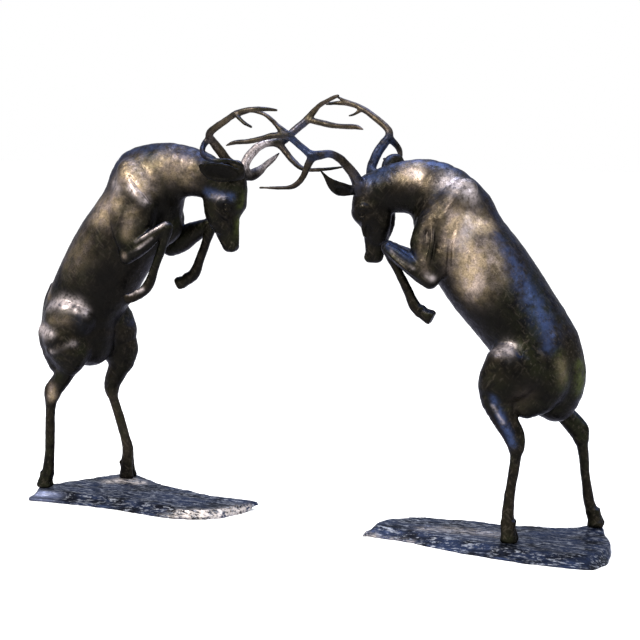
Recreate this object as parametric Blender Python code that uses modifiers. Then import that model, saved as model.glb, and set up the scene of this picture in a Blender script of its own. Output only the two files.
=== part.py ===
"""Two life-size bronze stags that rear up against each other, each cast in one and fixed to its own rock-like base.

X runs along the line that joins the stags, Y across it and Z up. The finished group is set down with
the middle of its underside at the origin. Metres throughout.
"""

import math

import bmesh
import bpy
from mathutils import Vector

LEFT_HEIGHT = 2.0
RIGHT_HEIGHT = 2.0
STAND_SPACING = 2.45
BASE_THICKNESS = 0.05
LEFT_BASE_LENGTH = 1.2
RIGHT_BASE_LENGTH = 1.14
LEFT_REAR_LEDGE = 0.0055
RIGHT_REAR_LEDGE = 0.068
BASE_LEDGE = 0.06
BASE_EDGE_BEVEL = 0.012
SOLE_GAP = 0.0003

# A stag's mesh is worked out at this cell and then thinned to this many triangles.
CELL = 0.006
STAG_TRIANGLES = 4300
BLEND_PASSES = 3

BRONZE = (0.075, 0.062, 0.042, 1.0)
ROCK_BRONZE = (0.06, 0.07, 0.095, 1.0)

# Each limb of a stag's pose has a name, its width across the body as a share of its depth, and
# its stations: ahead of the stand point, across, above the base and radius. They are given for a stag
# POSE_HEIGHT high and scale with its own height. The near side has negative Y.
POSE_HEIGHT = 2.0
LEFT_POSE = [
    ("torso", 0.93, [(-0.05, 0, 0.8, 0.132), (-0.03, 0, 0.9, 0.168), (0.065, 0, 1.06, 0.187),
        (0.18, 0, 1.23, 0.198), (0.3, 0, 1.385, 0.196), (0.39, 0, 1.5, 0.182)]),
    ("belly", 0.95, [(0.09, 0, 0.93, 0.105), (0.17, 0, 1.035, 0.12), (0.215, 0, 1.12, 0.124),
        (0.28, 0, 1.24, 0.126), (0.37, 0, 1.35, 0.13)]),
    ("rump", 0.95, [(-0.07, 0, 0.9, 0.105), (-0.12, 0, 0.82, 0.105), (-0.12, 0, 0.745, 0.092),
        (-0.09, 0, 0.69, 0.08)]),
    ("pelvis", 1, [(0.02, 0, 0.85, 0.16), (0.035, 0, 0.75, 0.127)]),
    ("withers", 0.8, [(0.285, 0, 1.6, 0.088), (0.33, 0, 1.63, 0.108), (0.4, 0, 1.645, 0.114),
        (0.48, 0, 1.65, 0.11)]),
    ("neck", 0.76, [(0.345, 0, 1.505, 0.165), (0.43, 0, 1.592, 0.146), (0.53, 0, 1.632, 0.133),
        (0.65, 0, 1.627, 0.116), (0.745, 0, 1.592, 0.1), (0.82, 0, 1.56, 0.09)]),
    ("breast", 0.85, [(0.39, 0, 1.5, 0.145), (0.435, 0, 1.42, 0.11), (0.48, 0, 1.36, 0.086)]),
    ("tail", 1.2, [(-0.175, 0, 1.035, 0.02), (-0.193, 0, 0.96, 0.028), (-0.214, 0, 0.88, 0.03),
        (-0.232, 0, 0.81, 0.024), (-0.23, 0, 0.765, 0.01)]),
    ("near shoulder blade", 0.75, [(0.33, -0.095, 1.64, 0.05), (0.37, -0.125, 1.57, 0.07),
        (0.41, -0.135, 1.5, 0.07)]),
    ("near triceps", 0.8, [(0.335, -0.12, 1.5, 0.075), (0.325, -0.145, 1.41, 0.075),
        (0.34, -0.165, 1.31, 0.05), (0.355, -0.172, 1.24, 0.034)]),
    ("near upper arm", 0.8, [(0.42, -0.125, 1.48, 0.075), (0.405, -0.15, 1.39, 0.07),
        (0.385, -0.165, 1.29, 0.05)]),
    ("near forearm", 1, [(0.349, -0.165, 1.222, 0.0343), (0.391, -0.17, 1.251, 0.042),
        (0.439, -0.168, 1.287, 0.0429), (0.485, -0.16, 1.325, 0.0369), (0.524, -0.15, 1.354, 0.0306),
        (0.552, -0.142, 1.371, 0.0281)]),
    ("near cannon", 1, [(0.558, -0.142, 1.367, 0.0286), (0.553, -0.14, 1.342, 0.0257),
        (0.534, -0.137, 1.297, 0.0224), (0.515, -0.133, 1.247, 0.021), (0.493, -0.13, 1.196, 0.0206),
        (0.475, -0.128, 1.153, 0.0211), (0.457, -0.126, 1.11, 0.0236), (0.44, -0.125, 1.077, 0.0266),
        (0.414, -0.124, 1.048, 0.0247), (0.388, -0.123, 1.029, 0.0228)]),
    ("far upper arm", 0.75, [(0.39, 0.12, 1.5, 0.09), (0.425, 0.14, 1.385, 0.09),
        (0.43, 0.15, 1.28, 0.065)]),
    ("far forearm", 0.9, [(0.435, 0.155, 1.242, 0.0521), (0.488, 0.15, 1.268, 0.059),
        (0.549, 0.14, 1.308, 0.0552), (0.604, 0.13, 1.335, 0.0453), (0.647, 0.12, 1.355, 0.0351),
        (0.671, 0.115, 1.368, 0.031)]),
    ("far cannon", 1, [(0.672, 0.115, 1.366, 0.031), (0.668, 0.115, 1.331, 0.0276),
        (0.653, 0.112, 1.285, 0.0231), (0.635, 0.11, 1.234, 0.0226), (0.615, 0.108, 1.183, 0.0227),
        (0.604, 0.106, 1.152, 0.0242), (0.594, 0.104, 1.127, 0.0273), (0.577, 0.102, 1.103, 0.0298),
        (0.555, 0.1, 1.087, 0.0283)]),
    ("near hip", 0.85, [(-0.065, -0.115, 0.925, 0.07), (0, -0.12, 0.945, 0.075),
        (0.05, -0.115, 0.925, 0.06)]),
    ("near thigh", 0.78, [(-0.03, -0.11, 0.86, 0.105), (-0.03, -0.125, 0.79, 0.125),
        (-0.015, -0.135, 0.72, 0.1)]),
    ("near ham", 0.85, [(-0.1, -0.085, 0.87, 0.065), (-0.115, -0.1, 0.8, 0.08),
        (-0.1, -0.11, 0.72, 0.07), (-0.085, -0.12, 0.65, 0.05)]),
    ("near gaskin", 0.85, [(0.026, -0.145, 0.72, 0.0785), (0.007, -0.145, 0.667, 0.0619),
        (-0.018, -0.14, 0.623, 0.0478), (-0.057, -0.135, 0.567, 0.0434), (-0.094, -0.13, 0.521, 0.041),
        (-0.115, -0.13, 0.486, 0.038)]),
    ("near hock", 1, [(-0.074, -0.13, 0.596, 0.0174), (-0.116, -0.13, 0.546, 0.0195),
        (-0.138, -0.13, 0.51, 0.0221), (-0.135, -0.13, 0.476, 0.0206)]),
    ("near hind cannon", 1, [(-0.115, -0.13, 0.486, 0.038), (-0.125, -0.13, 0.451, 0.0314),
        (-0.13, -0.13, 0.413, 0.0263), (-0.132, -0.132, 0.376, 0.0248),
        (-0.135, -0.135, 0.297, 0.0253), (-0.137, -0.14, 0.202, 0.0248),
        (-0.141, -0.142, 0.149, 0.0264), (-0.146, -0.143, 0.106, 0.0296),
        (-0.151, -0.145, 0.074, 0.0306)]),
    ("far hip", 0.85, [(-0.04, 0.115, 0.93, 0.07), (0.04, 0.12, 0.94, 0.07)]),
    ("far thigh", 0.75, [(0.087, 0.11, 0.872, 0.122), (0.093, 0.13, 0.79, 0.126),
        (0.115, 0.14, 0.71, 0.1)]),
    ("far ham", 0.85, [(-0.09, 0.09, 0.86, 0.075), (-0.06, 0.11, 0.77, 0.085), (0, 0.125, 0.69, 0.06)]),
    ("far gaskin", 0.85, [(0.162, 0.145, 0.685, 0.0786), (0.146, 0.145, 0.631, 0.0657),
        (0.13, 0.14, 0.598, 0.0573), (0.105, 0.14, 0.548, 0.0506), (0.087, 0.14, 0.504, 0.0433),
        (0.083, 0.14, 0.466, 0.0338)]),
    ("far hock", 1, [(0.098, 0.14, 0.585, 0.018), (0.07, 0.14, 0.525, 0.02),
        (0.062, 0.14, 0.485, 0.021), (0.07, 0.14, 0.445, 0.019)]),
    ("far hind cannon", 1, [(0.083, 0.14, 0.466, 0.0338), (0.088, 0.14, 0.433, 0.0264),
        (0.097, 0.14, 0.402, 0.0243), (0.116, 0.14, 0.338, 0.0254), (0.136, 0.14, 0.274, 0.0254),
        (0.154, 0.14, 0.21, 0.0255), (0.163, 0.14, 0.173, 0.0276), (0.167, 0.14, 0.135, 0.0308),
        (0.163, 0.14, 0.09, 0.0324)]),
    ("cranium", 0.88, [(0.842, 0, 1.6, 0.068), (0.834, 0, 1.545, 0.074), (0.825, 0, 1.49, 0.08)]),
    ("forehead", 1.15, [(0.848, 0, 1.53, 0.058), (0.856, 0, 1.485, 0.054)]),
    ("near cheek", 0.75, [(0.765, -0.03, 1.5, 0.062), (0.77, -0.034, 1.43, 0.055),
        (0.79, -0.03, 1.37, 0.04)]),
    ("far cheek", 0.75, [(0.765, 0.03, 1.5, 0.062), (0.77, 0.034, 1.43, 0.055),
        (0.79, 0.03, 1.37, 0.04)]),
    ("muzzle", 0.82, [(0.825, 0, 1.44, 0.055), (0.829, 0, 1.37, 0.046), (0.834, 0, 1.31, 0.04),
        (0.834, 0, 1.285, 0.038)]),
    ("jaw", 0.85, [(0.785, 0, 1.42, 0.045), (0.79, 0, 1.35, 0.038), (0.81, 0, 1.295, 0.032),
        (0.818, 0, 1.27, 0.026)]),
    ("near burr", 1, [(0.889, -0.043, 1.655, 0.033), (0.886, -0.045, 1.662, 0.033)]),
    ("near beam", 1, [(0.896, -0.04, 1.638, 0.028), (0.882, -0.045, 1.657, 0.0265),
        (0.859, -0.058, 1.679, 0.0245), (0.844, -0.075, 1.698, 0.0235), (0.832, -0.095, 1.727, 0.0225),
        (0.82, -0.12, 1.756, 0.0215), (0.81, -0.15, 1.783, 0.02), (0.808, -0.185, 1.81, 0.0185),
        (0.819, -0.2, 1.83, 0.0185), (0.849, -0.213, 1.85, 0.0168), (0.88, -0.225, 1.867, 0.0162),
        (0.909, -0.234, 1.883, 0.0158), (0.937, -0.242, 1.9, 0.0155), (0.972, -0.252, 1.916, 0.0155),
        (1.011, -0.262, 1.927, 0.0145), (1.047, -0.267, 1.935, 0.0128), (1.08, -0.263, 1.938, 0.0115),
        (1.112, -0.245, 1.938, 0.0098), (1.132, -0.22, 1.936, 0.0078), (1.149, -0.195, 1.933, 0.0055)]),
    ("near drop tine", 1, [(0.975, -0.26, 1.914, 0.012), (1.003, -0.28, 1.894, 0.0095),
        (1.031, -0.29, 1.874, 0.008), (1.065, -0.3, 1.859, 0.0055)]),
    ("near curl tine", 1, [(0.798, -0.175, 1.796, 0.016), (0.785, -0.19, 1.776, 0.0145),
        (0.787, -0.22, 1.753, 0.0135), (0.802, -0.25, 1.733, 0.0135), (0.835, -0.285, 1.717, 0.0128),
        (0.87, -0.3, 1.708, 0.012), (0.905, -0.302, 1.703, 0.0108), (0.937, -0.295, 1.705, 0.0095),
        (0.969, -0.275, 1.698, 0.008), (0.999, -0.24, 1.678, 0.006)]),
    ("far burr", 1, [(0.881, 0.047, 1.63, 0.032), (0.881, 0.05, 1.638, 0.032)]),
    ("far beam", 1, [(0.881, 0.045, 1.623, 0.028), (0.885, 0.05, 1.652, 0.025),
        (0.889, 0.06, 1.676, 0.0235), (0.899, 0.075, 1.702, 0.0225), (0.913, 0.09, 1.725, 0.0225),
        (0.929, 0.105, 1.746, 0.0215), (0.947, 0.12, 1.759, 0.02), (0.965, 0.14, 1.768, 0.0185),
        (0.991, 0.155, 1.77, 0.0185), (1.021, 0.165, 1.773, 0.0195), (1.05, 0.18, 1.787, 0.019),
        (1.073, 0.195, 1.811, 0.019), (1.095, 0.2, 1.832, 0.02), (1.119, 0.205, 1.853, 0.02),
        (1.143, 0.21, 1.872, 0.02), (1.164, 0.21, 1.894, 0.0185), (1.18, 0.208, 1.912, 0.016),
        (1.197, 0.205, 1.928, 0.0148), (1.214, 0.2, 1.945, 0.0128), (1.238, 0.19, 1.96, 0.0122),
        (1.262, 0.18, 1.971, 0.0112), (1.285, 0.172, 1.982, 0.01), (1.307, 0.166, 1.991, 0.0085),
        (1.329, 0.16, 1.998, 0.0062)]),
    ("far low tine", 1, [(1.014, 0.17, 1.765, 0.017), (1.038, 0.168, 1.749, 0.0165),
        (1.06, 0.165, 1.725, 0.0163), (1.083, 0.16, 1.7, 0.016), (1.116, 0.14, 1.676, 0.0145),
        (1.147, 0.12, 1.658, 0.0128), (1.175, 0.107, 1.649, 0.0112), (1.21, 0.095, 1.646, 0.0095),
        (1.254, 0.085, 1.648, 0.0095), (1.299, 0.072, 1.652, 0.0082), (1.344, 0.058, 1.658, 0.0072),
        (1.388, 0.045, 1.665, 0.005)]),
    ("far mid tine", 1, [(1.154, 0.21, 1.884, 0.015), (1.188, 0.2, 1.878, 0.0155),
        (1.242, 0.18, 1.868, 0.015), (1.288, 0.163, 1.86, 0.0145), (1.336, 0.14, 1.855, 0.0123),
        (1.383, 0.12, 1.853, 0.0128), (1.429, 0.1, 1.853, 0.0125), (1.457, 0.085, 1.85, 0.0108),
        (1.481, 0.07, 1.843, 0.006)]),
    ("far ear", 0.6, [(0.881, 0.045, 1.613, 0.022), (0.901, 0.06, 1.615, 0.026),
        (0.914, 0.08, 1.617, 0.028), (0.927, 0.1, 1.625, 0.0265), (0.941, 0.118, 1.638, 0.022),
        (0.956, 0.135, 1.655, 0.0175), (0.971, 0.15, 1.672, 0.0155), (0.987, 0.165, 1.687, 0.0132),
        (1.002, 0.18, 1.704, 0.0093), (1.014, 0.19, 1.719, 0.0045)]),
    ("near ear", 0.5, [(0.905, -0.05, 1.619, 0.02), (0.88, -0.09, 1.628, 0.036),
        (0.843, -0.125, 1.637, 0.046), (0.805, -0.155, 1.646, 0.043), (0.78, -0.18, 1.66, 0.027),
        (0.764, -0.2, 1.672, 0.01)]),
    ("near fore hoof", 1.05, [(0.388, -0.123, 1.029, 0.0213), (0.352, -0.122, 1.012, 0.0233),
        (0.328, -0.12, 1.008, 0.025)]),
    ("far fore hoof", 1.05, [(0.555, 0.1, 1.087, 0.0255), (0.53, 0.1, 1.072, 0.0279),
        (0.512, 0.1, 1.064, 0.03)]),
    ("near hind hoof", 1.05, [(-0.152, -0.146, 0.066, 0.0302), (-0.164, -0.149, 0.03, 0.033),
        (-0.166, -0.15, 0.01, 0.0355)]),
    ("far hind hoof", 1.05, [(0.163, 0.14, 0.08, 0.0323), (0.163, 0.14, 0.035, 0.0353),
        (0.163, 0.14, 0.012, 0.038)]),
]
RIGHT_POSE = [
    ("torso", 0.95, [(0.05, 0, 0.75, 0.14), (0.105, 0, 0.875, 0.182), (0.225, 0, 1.04, 0.196),
        (0.35, 0, 1.2, 0.206), (0.46, 0, 1.35, 0.193), (0.515, 0, 1.44, 0.178)]),
    ("belly", 0.95, [(0.2, 0, 0.9, 0.112), (0.28, 0, 1, 0.122), (0.36, 0, 1.1, 0.13),
        (0.44, 0, 1.2, 0.128)]),
    ("rump", 0.95, [(0.05, 0, 0.86, 0.13), (0.015, 0, 0.76, 0.128), (0, 0, 0.68, 0.11),
        (0.015, 0, 0.62, 0.096)]),
    ("pelvis", 1, [(0.08, 0, 0.8, 0.16), (0.105, 0, 0.685, 0.13)]),
    ("neck", 0.78, [(0.485, 0, 1.455, 0.166), (0.545, 0, 1.535, 0.147), (0.63, 0, 1.58, 0.131),
        (0.725, 0, 1.582, 0.122), (0.82, 0, 1.567, 0.109), (0.88, 0, 1.54, 0.09)]),
    ("breast", 0.85, [(0.52, 0, 1.4, 0.145), (0.55, 0, 1.33, 0.108), (0.55, 0, 1.25, 0.085)]),
    ("tail", 1.2, [(-0.02, 0, 0.97, 0.02), (-0.045, 0, 0.89, 0.028), (-0.075, 0, 0.81, 0.03),
        (-0.092, 0, 0.74, 0.024), (-0.09, 0, 0.69, 0.01)]),
    ("near shoulder blade", 0.75, [(0.43, -0.1, 1.58, 0.055), (0.47, -0.125, 1.52, 0.07),
        (0.515, -0.135, 1.45, 0.07)]),
    ("near triceps", 0.8, [(0.46, -0.12, 1.43, 0.075), (0.48, -0.145, 1.34, 0.075),
        (0.525, -0.165, 1.25, 0.055), (0.56, -0.17, 1.19, 0.038)]),
    ("near upper arm", 0.8, [(0.575, -0.125, 1.41, 0.075), (0.6, -0.145, 1.34, 0.072),
        (0.59, -0.165, 1.26, 0.058), (0.585, -0.17, 1.21, 0.045)]),
    ("near forearm", 1, [(0.574, -0.16, 1.171, 0.0372), (0.61, -0.165, 1.199, 0.0431),
        (0.653, -0.165, 1.236, 0.0454), (0.698, -0.155, 1.266, 0.0438), (0.745, -0.14, 1.293, 0.0375),
        (0.779, -0.13, 1.31, 0.0317)]),
    ("near cannon", 1, [(0.781, -0.128, 1.312, 0.0317), (0.769, -0.125, 1.273, 0.0257),
        (0.748, -0.12, 1.229, 0.0212), (0.727, -0.118, 1.186, 0.02), (0.704, -0.112, 1.139, 0.0212),
        (0.683, -0.106, 1.093, 0.0221), (0.672, -0.103, 1.067, 0.0245), (0.658, -0.1, 1.04, 0.0272),
        (0.634, -0.1, 1.018, 0.0249)]),
    ("far upper arm", 0.7, [(0.48, 0.12, 1.45, 0.1), (0.52, 0.14, 1.33, 0.09),
        (0.55, 0.15, 1.22, 0.065)]),
    ("far forearm", 0.9, [(0.57, 0.16, 1.17, 0.04), (0.65, 0.16, 1.195, 0.044),
        (0.75, 0.14, 1.24, 0.038), (0.828, 0.12, 1.275, 0.031)]),
    ("far cannon", 1, [(0.828, 0.12, 1.275, 0.031), (0.765, 0.12, 1.235, 0.023),
        (0.68, 0.12, 1.185, 0.021), (0.62, 0.125, 1.148, 0.024), (0.585, 0.13, 1.132, 0.023)]),
    ("near hip", 0.85, [(0.05, -0.115, 0.92, 0.075), (0.11, -0.12, 0.93, 0.075)]),
    ("near thigh", 0.75, [(0.1, -0.11, 0.86, 0.115), (0.15, -0.14, 0.785, 0.132),
        (0.2, -0.16, 0.75, 0.108)]),
    ("near stifle", 0.9, [(0.218, -0.165, 0.805, 0.086), (0.242, -0.17, 0.75, 0.09)]),
    ("near ham", 0.85, [(0.03, -0.09, 0.82, 0.085), (0.035, -0.11, 0.74, 0.095),
        (0.07, -0.12, 0.67, 0.085), (0.125, -0.135, 0.62, 0.06)]),
    ("near gaskin", 0.85, [(0.254, -0.165, 0.698, 0.0858), (0.251, -0.165, 0.643, 0.0746),
        (0.234, -0.165, 0.584, 0.0579), (0.208, -0.162, 0.529, 0.048), (0.186, -0.16, 0.493, 0.0453),
        (0.17, -0.16, 0.457, 0.0408), (0.161, -0.162, 0.426, 0.0326)]),
    ("near hock", 1, [(0.174, -0.16, 0.555, 0.0181), (0.153, -0.16, 0.51, 0.0203),
        (0.141, -0.16, 0.465, 0.0204), (0.148, -0.162, 0.422, 0.0204)]),
    ("near hind cannon", 1, [(0.161, -0.162, 0.426, 0.0326), (0.162, -0.165, 0.385, 0.0254),
        (0.165, -0.17, 0.348, 0.024), (0.168, -0.175, 0.312, 0.0241), (0.173, -0.18, 0.275, 0.0236),
        (0.177, -0.185, 0.238, 0.0241), (0.181, -0.19, 0.202, 0.025), (0.183, -0.195, 0.165, 0.0259),
        (0.184, -0.2, 0.129, 0.0282), (0.184, -0.202, 0.096, 0.0296)]),
    ("far hip", 0.85, [(0.045, 0.115, 0.9, 0.078), (0.11, 0.12, 0.92, 0.07)]),
    ("far thigh", 0.75, [(0.07, 0.11, 0.81, 0.112), (0.07, 0.13, 0.72, 0.126),
        (0.082, 0.14, 0.65, 0.108)]),
    ("far gaskin", 0.85, [(0.034, 0.14, 0.601, 0.0657), (0.013, 0.14, 0.554, 0.054),
        (-0.017, 0.14, 0.518, 0.0441), (-0.05, 0.14, 0.48, 0.0436), (-0.074, 0.14, 0.448, 0.0403),
        (-0.089, 0.14, 0.413, 0.0319)]),
    ("far hock", 1, [(-0.038, 0.14, 0.534, 0.0187), (-0.077, 0.14, 0.499, 0.0211),
        (-0.103, 0.14, 0.463, 0.0215), (-0.102, 0.14, 0.424, 0.0215)]),
    ("far hind cannon", 1, [(-0.089, 0.14, 0.413, 0.0319), (-0.097, 0.14, 0.375, 0.0263),
        (-0.104, 0.14, 0.332, 0.0235), (-0.109, 0.14, 0.294, 0.0226), (-0.113, 0.14, 0.255, 0.0221),
        (-0.119, 0.14, 0.217, 0.0221), (-0.125, 0.14, 0.178, 0.0235), (-0.131, 0.14, 0.14, 0.0254),
        (-0.14, 0.14, 0.102, 0.0264), (-0.152, 0.14, 0.069, 0.0297)]),
    ("cranium", 0.88, [(0.905, 0, 1.57, 0.068), (0.908, 0, 1.52, 0.075), (0.905, 0, 1.47, 0.082)]),
    ("forehead", 1.15, [(0.928, 0, 1.5, 0.063), (0.934, 0, 1.462, 0.062)]),
    ("near cheek", 0.75, [(0.86, -0.03, 1.48, 0.064), (0.852, -0.034, 1.41, 0.055),
        (0.86, -0.03, 1.35, 0.04)]),
    ("far cheek", 0.75, [(0.86, 0.03, 1.48, 0.064), (0.852, 0.034, 1.41, 0.055),
        (0.86, 0.03, 1.35, 0.04)]),
    ("muzzle", 0.82, [(0.9, 0, 1.42, 0.055), (0.892, 0, 1.36, 0.047), (0.887, 0, 1.29, 0.043),
        (0.887, 0, 1.262, 0.042)]),
    ("jaw", 0.85, [(0.858, 0, 1.4, 0.045), (0.858, 0, 1.33, 0.036), (0.868, 0, 1.275, 0.03),
        (0.87, 0, 1.25, 0.025)]),
    ("near burr", 1, [(0.942, -0.048, 1.578, 0.034), (0.946, -0.05, 1.586, 0.034)]),
    ("near beam", 1, [(0.934, -0.045, 1.557, 0.03), (0.95, -0.05, 1.594, 0.0285),
        (0.96, -0.075, 1.63, 0.0262), (0.97, -0.09, 1.651, 0.023), (0.981, -0.105, 1.67, 0.022),
        (0.993, -0.12, 1.689, 0.0215), (1.005, -0.137, 1.708, 0.0198), (1.018, -0.15, 1.72, 0.0185),
        (1.032, -0.165, 1.731, 0.0175), (1.047, -0.178, 1.736, 0.0183), (1.063, -0.187, 1.736, 0.0188),
        (1.09, -0.195, 1.732, 0.0215), (1.114, -0.2, 1.73, 0.022), (1.139, -0.2, 1.738, 0.0185),
        (1.16, -0.2, 1.754, 0.0168), (1.185, -0.2, 1.773, 0.0163), (1.209, -0.2, 1.793, 0.0158),
        (1.241, -0.2, 1.819, 0.0175), (1.277, -0.195, 1.844, 0.0165), (1.298, -0.19, 1.861, 0.0125),
        (1.312, -0.185, 1.873, 0.0112), (1.34, -0.178, 1.896, 0.0098), (1.367, -0.17, 1.912, 0.009),
        (1.401, -0.16, 1.922, 0.0083), (1.44, -0.15, 1.927, 0.0072), (1.484, -0.14, 1.927, 0.0055)]),
    ("near low tine", 1, [(1.122, -0.2, 1.725, 0.021), (1.141, -0.2, 1.697, 0.0175),
        (1.156, -0.2, 1.663, 0.0155), (1.173, -0.2, 1.628, 0.0145), (1.2, -0.2, 1.598, 0.0128),
        (1.234, -0.2, 1.582, 0.0108), (1.284, -0.2, 1.578, 0.0085), (1.333, -0.2, 1.577, 0.0068),
        (1.383, -0.2, 1.577, 0.005)]),
    ("near left tine", 1, [(1.241, -0.2, 1.821, 0.017), (1.282, -0.2, 1.819, 0.0158),
        (1.322, -0.2, 1.816, 0.0145), (1.356, -0.2, 1.808, 0.0133), (1.39, -0.203, 1.799, 0.0125),
        (1.429, -0.205, 1.791, 0.0122), (1.464, -0.205, 1.787, 0.0108), (1.499, -0.205, 1.785, 0.0104),
        (1.525, -0.205, 1.779, 0.0085), (1.548, -0.205, 1.77, 0.0045)]),
    ("far burr", 1, [(0.906, 0.058, 1.62, 0.033), (0.905, 0.062, 1.628, 0.033)]),
    ("far beam", 1, [(0.92, 0.05, 1.579, 0.03), (0.922, 0.06, 1.625, 0.0255),
        (0.929, 0.09, 1.666, 0.0235), (0.923, 0.115, 1.7, 0.0232), (0.917, 0.135, 1.725, 0.0235),
        (0.903, 0.15, 1.753, 0.0233), (0.888, 0.163, 1.777, 0.022), (0.874, 0.175, 1.798, 0.0205),
        (0.871, 0.185, 1.819, 0.0187), (0.877, 0.19, 1.836, 0.018), (0.893, 0.195, 1.853, 0.0168),
        (0.912, 0.2, 1.868, 0.0163), (0.933, 0.205, 1.883, 0.016), (0.955, 0.21, 1.898, 0.0155),
        (0.976, 0.215, 1.912, 0.0155), (0.998, 0.22, 1.926, 0.0152), (1.02, 0.225, 1.937, 0.0145),
        (1.041, 0.228, 1.947, 0.014), (1.062, 0.23, 1.955, 0.0135), (1.088, 0.232, 1.961, 0.0125),
        (1.117, 0.235, 1.964, 0.0118), (1.145, 0.235, 1.964, 0.0103), (1.176, 0.234, 1.962, 0.0082),
        (1.203, 0.232, 1.958, 0.0055)]),
    ("far top tine", 1, [(1.088, 0.233, 1.966, 0.009), (1.118, 0.23, 1.979, 0.0078),
        (1.143, 0.228, 1.991, 0.0055)]),
    ("far small tine", 1, [(1.025, 0.225, 1.933, 0.01), (1.04, 0.218, 1.92, 0.0082),
        (1.057, 0.207, 1.909, 0.0068), (1.076, 0.2, 1.903, 0.0045)]),
    ("far curl tine", 1, [(0.868, 0.17, 1.8, 0.018), (0.852, 0.195, 1.779, 0.0165),
        (0.838, 0.22, 1.756, 0.0145), (0.834, 0.243, 1.732, 0.0132), (0.837, 0.26, 1.707, 0.0108),
        (0.852, 0.268, 1.689, 0.0092), (0.883, 0.262, 1.689, 0.0075), (0.913, 0.245, 1.697, 0.0058)]),
    ("near ear", 0.5, [(0.957, -0.05, 1.561, 0.022), (0.982, -0.08, 1.566, 0.028),
        (0.997, -0.095, 1.568, 0.0315), (1.011, -0.11, 1.571, 0.036), (1.024, -0.13, 1.578, 0.0345),
        (1.039, -0.145, 1.591, 0.0285), (1.053, -0.16, 1.609, 0.0195), (1.067, -0.175, 1.63, 0.0115),
        (1.08, -0.188, 1.65, 0.007), (1.089, -0.197, 1.664, 0.004)]),
    ("far ear", 0.5, [(0.865, 0.08, 1.653, 0.014), (0.859, 0.11, 1.678, 0.025),
        (0.845, 0.145, 1.694, 0.03), (0.828, 0.175, 1.699, 0.026), (0.809, 0.195, 1.689, 0.012)]),
    ("near fore hoof", 1.05, [(0.634, -0.1, 1.018, 0.0255), (0.608, -0.1, 1.004, 0.0279),
        (0.59, -0.1, 0.996, 0.03)]),
    ("far fore hoof", 1.05, [(0.585, 0.13, 1.132, 0.0221), (0.562, 0.13, 1.125, 0.0242),
        (0.545, 0.13, 1.12, 0.026)]),
    ("near hind hoof", 1.05, [(0.184, -0.203, 0.085, 0.031), (0.175, -0.209, 0.035, 0.0339),
        (0.173, -0.211, 0.012, 0.0365)]),
    ("far hind hoof", 1.05, [(-0.153, 0.14, 0.066, 0.0306), (-0.168, 0.14, 0.03, 0.0335),
        (-0.171, 0.14, 0.011, 0.036)]),
]


# The edges of a base, from its rear end to its tip, as shares of the half width over the hooves:
# distance from the rear end as a share of the length, near edge, far edge.
LEFT_EDGES = [
    (0, -1.21, -0.72), (0.01, -1.29, -0.58), (0.035, -1.29, -0.45), (0.093, -1.26, -0.04),
    (0.153, -1.24, 0.35), (0.197, -1.24, 0.67), (0.245, -1.23, 0.94), (0.306, -1.23, 1.01),
    (0.36, -1.24, 0.89), (0.418, -1.26, 0.71), (0.514, -1.33, 0.43), (0.653, -1.43, 0.18),
    (0.765, -1.34, 0.01), (0.859, -1.1, 0), (0.919, -0.7, 0), (0.953, -0.34, -0.02),
    (0.972, -0.21, -0.06), (0.993, -0.22, -0.15),
]
RIGHT_EDGES = [
    (0, -0.93, -0.46), (0.009, -1.1, -0.25), (0.039, -1.35, 0.26), (0.061, -1.41, 0.6),
    (0.096, -1.46, 0.79), (0.14, -1.48, 0.56), (0.219, -1.48, 0.37), (0.351, -1.46, 0.24),
    (0.471, -1.39, 0.14), (0.601, -1.29, 0.18), (0.712, -1.15, 0.14), (0.793, -1.05, 0.07),
    (0.881, -1.01, -0.08), (0.939, -1, -0.31), (0.974, -0.98, -0.67), (1, -1.01, -0.97),
]


def clear():
    for obj in list(bpy.data.objects):
        bpy.data.objects.remove(obj)


def collection(name):
    made = bpy.data.collections.new(name)
    bpy.context.scene.collection.children.link(made)
    return made


def finish(name, colour, roughness):
    material = bpy.data.materials.new(name)
    material.use_nodes = True
    shader = material.node_tree.nodes["Principled BSDF"]
    shader.inputs["Base Color"].default_value = colour
    shader.inputs["Metallic"].default_value = 1.0
    shader.inputs["Roughness"].default_value = roughness
    material.diffuse_color = colour
    return material


def smooth_through(stations, steps):
    """Points of a spline through the stations, a Catmull-Rom one, each a vector of any length."""
    points = [Vector(station) for station in stations]
    points = [2 * points[0] - points[1], *points, 2 * points[-1] - points[-2]]
    made = []
    for before, start, end, after in zip(points, points[1:], points[2:], points[3:]):
        for step in range(steps):
            t = step / steps
            made.append(
                0.5 * (2 * start + (end - before) * t + (2 * before - 5 * start + 4 * end - after) * t**2
                       + (3 * start - before - 3 * end + after) * t**3)
            )
    return made + [points[-2]]


def rounded(path):
    """The path with a half ball at each end, as stations that narrow towards a point."""
    ends = []
    for tip, inner in ((path[0], path[1]), (path[-1], path[-2])):
        out = (tip.xyz - inner.xyz).normalized()
        cap = []
        for degrees in (30, 55, 75):
            angle = math.radians(degrees)
            place = tip.xyz + out * tip.w * math.sin(angle)
            cap.append(Vector((*place, tip.w * math.cos(angle))))
        ends.append(cap)
    return ends[0][::-1] + path + ends[1]


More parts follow.
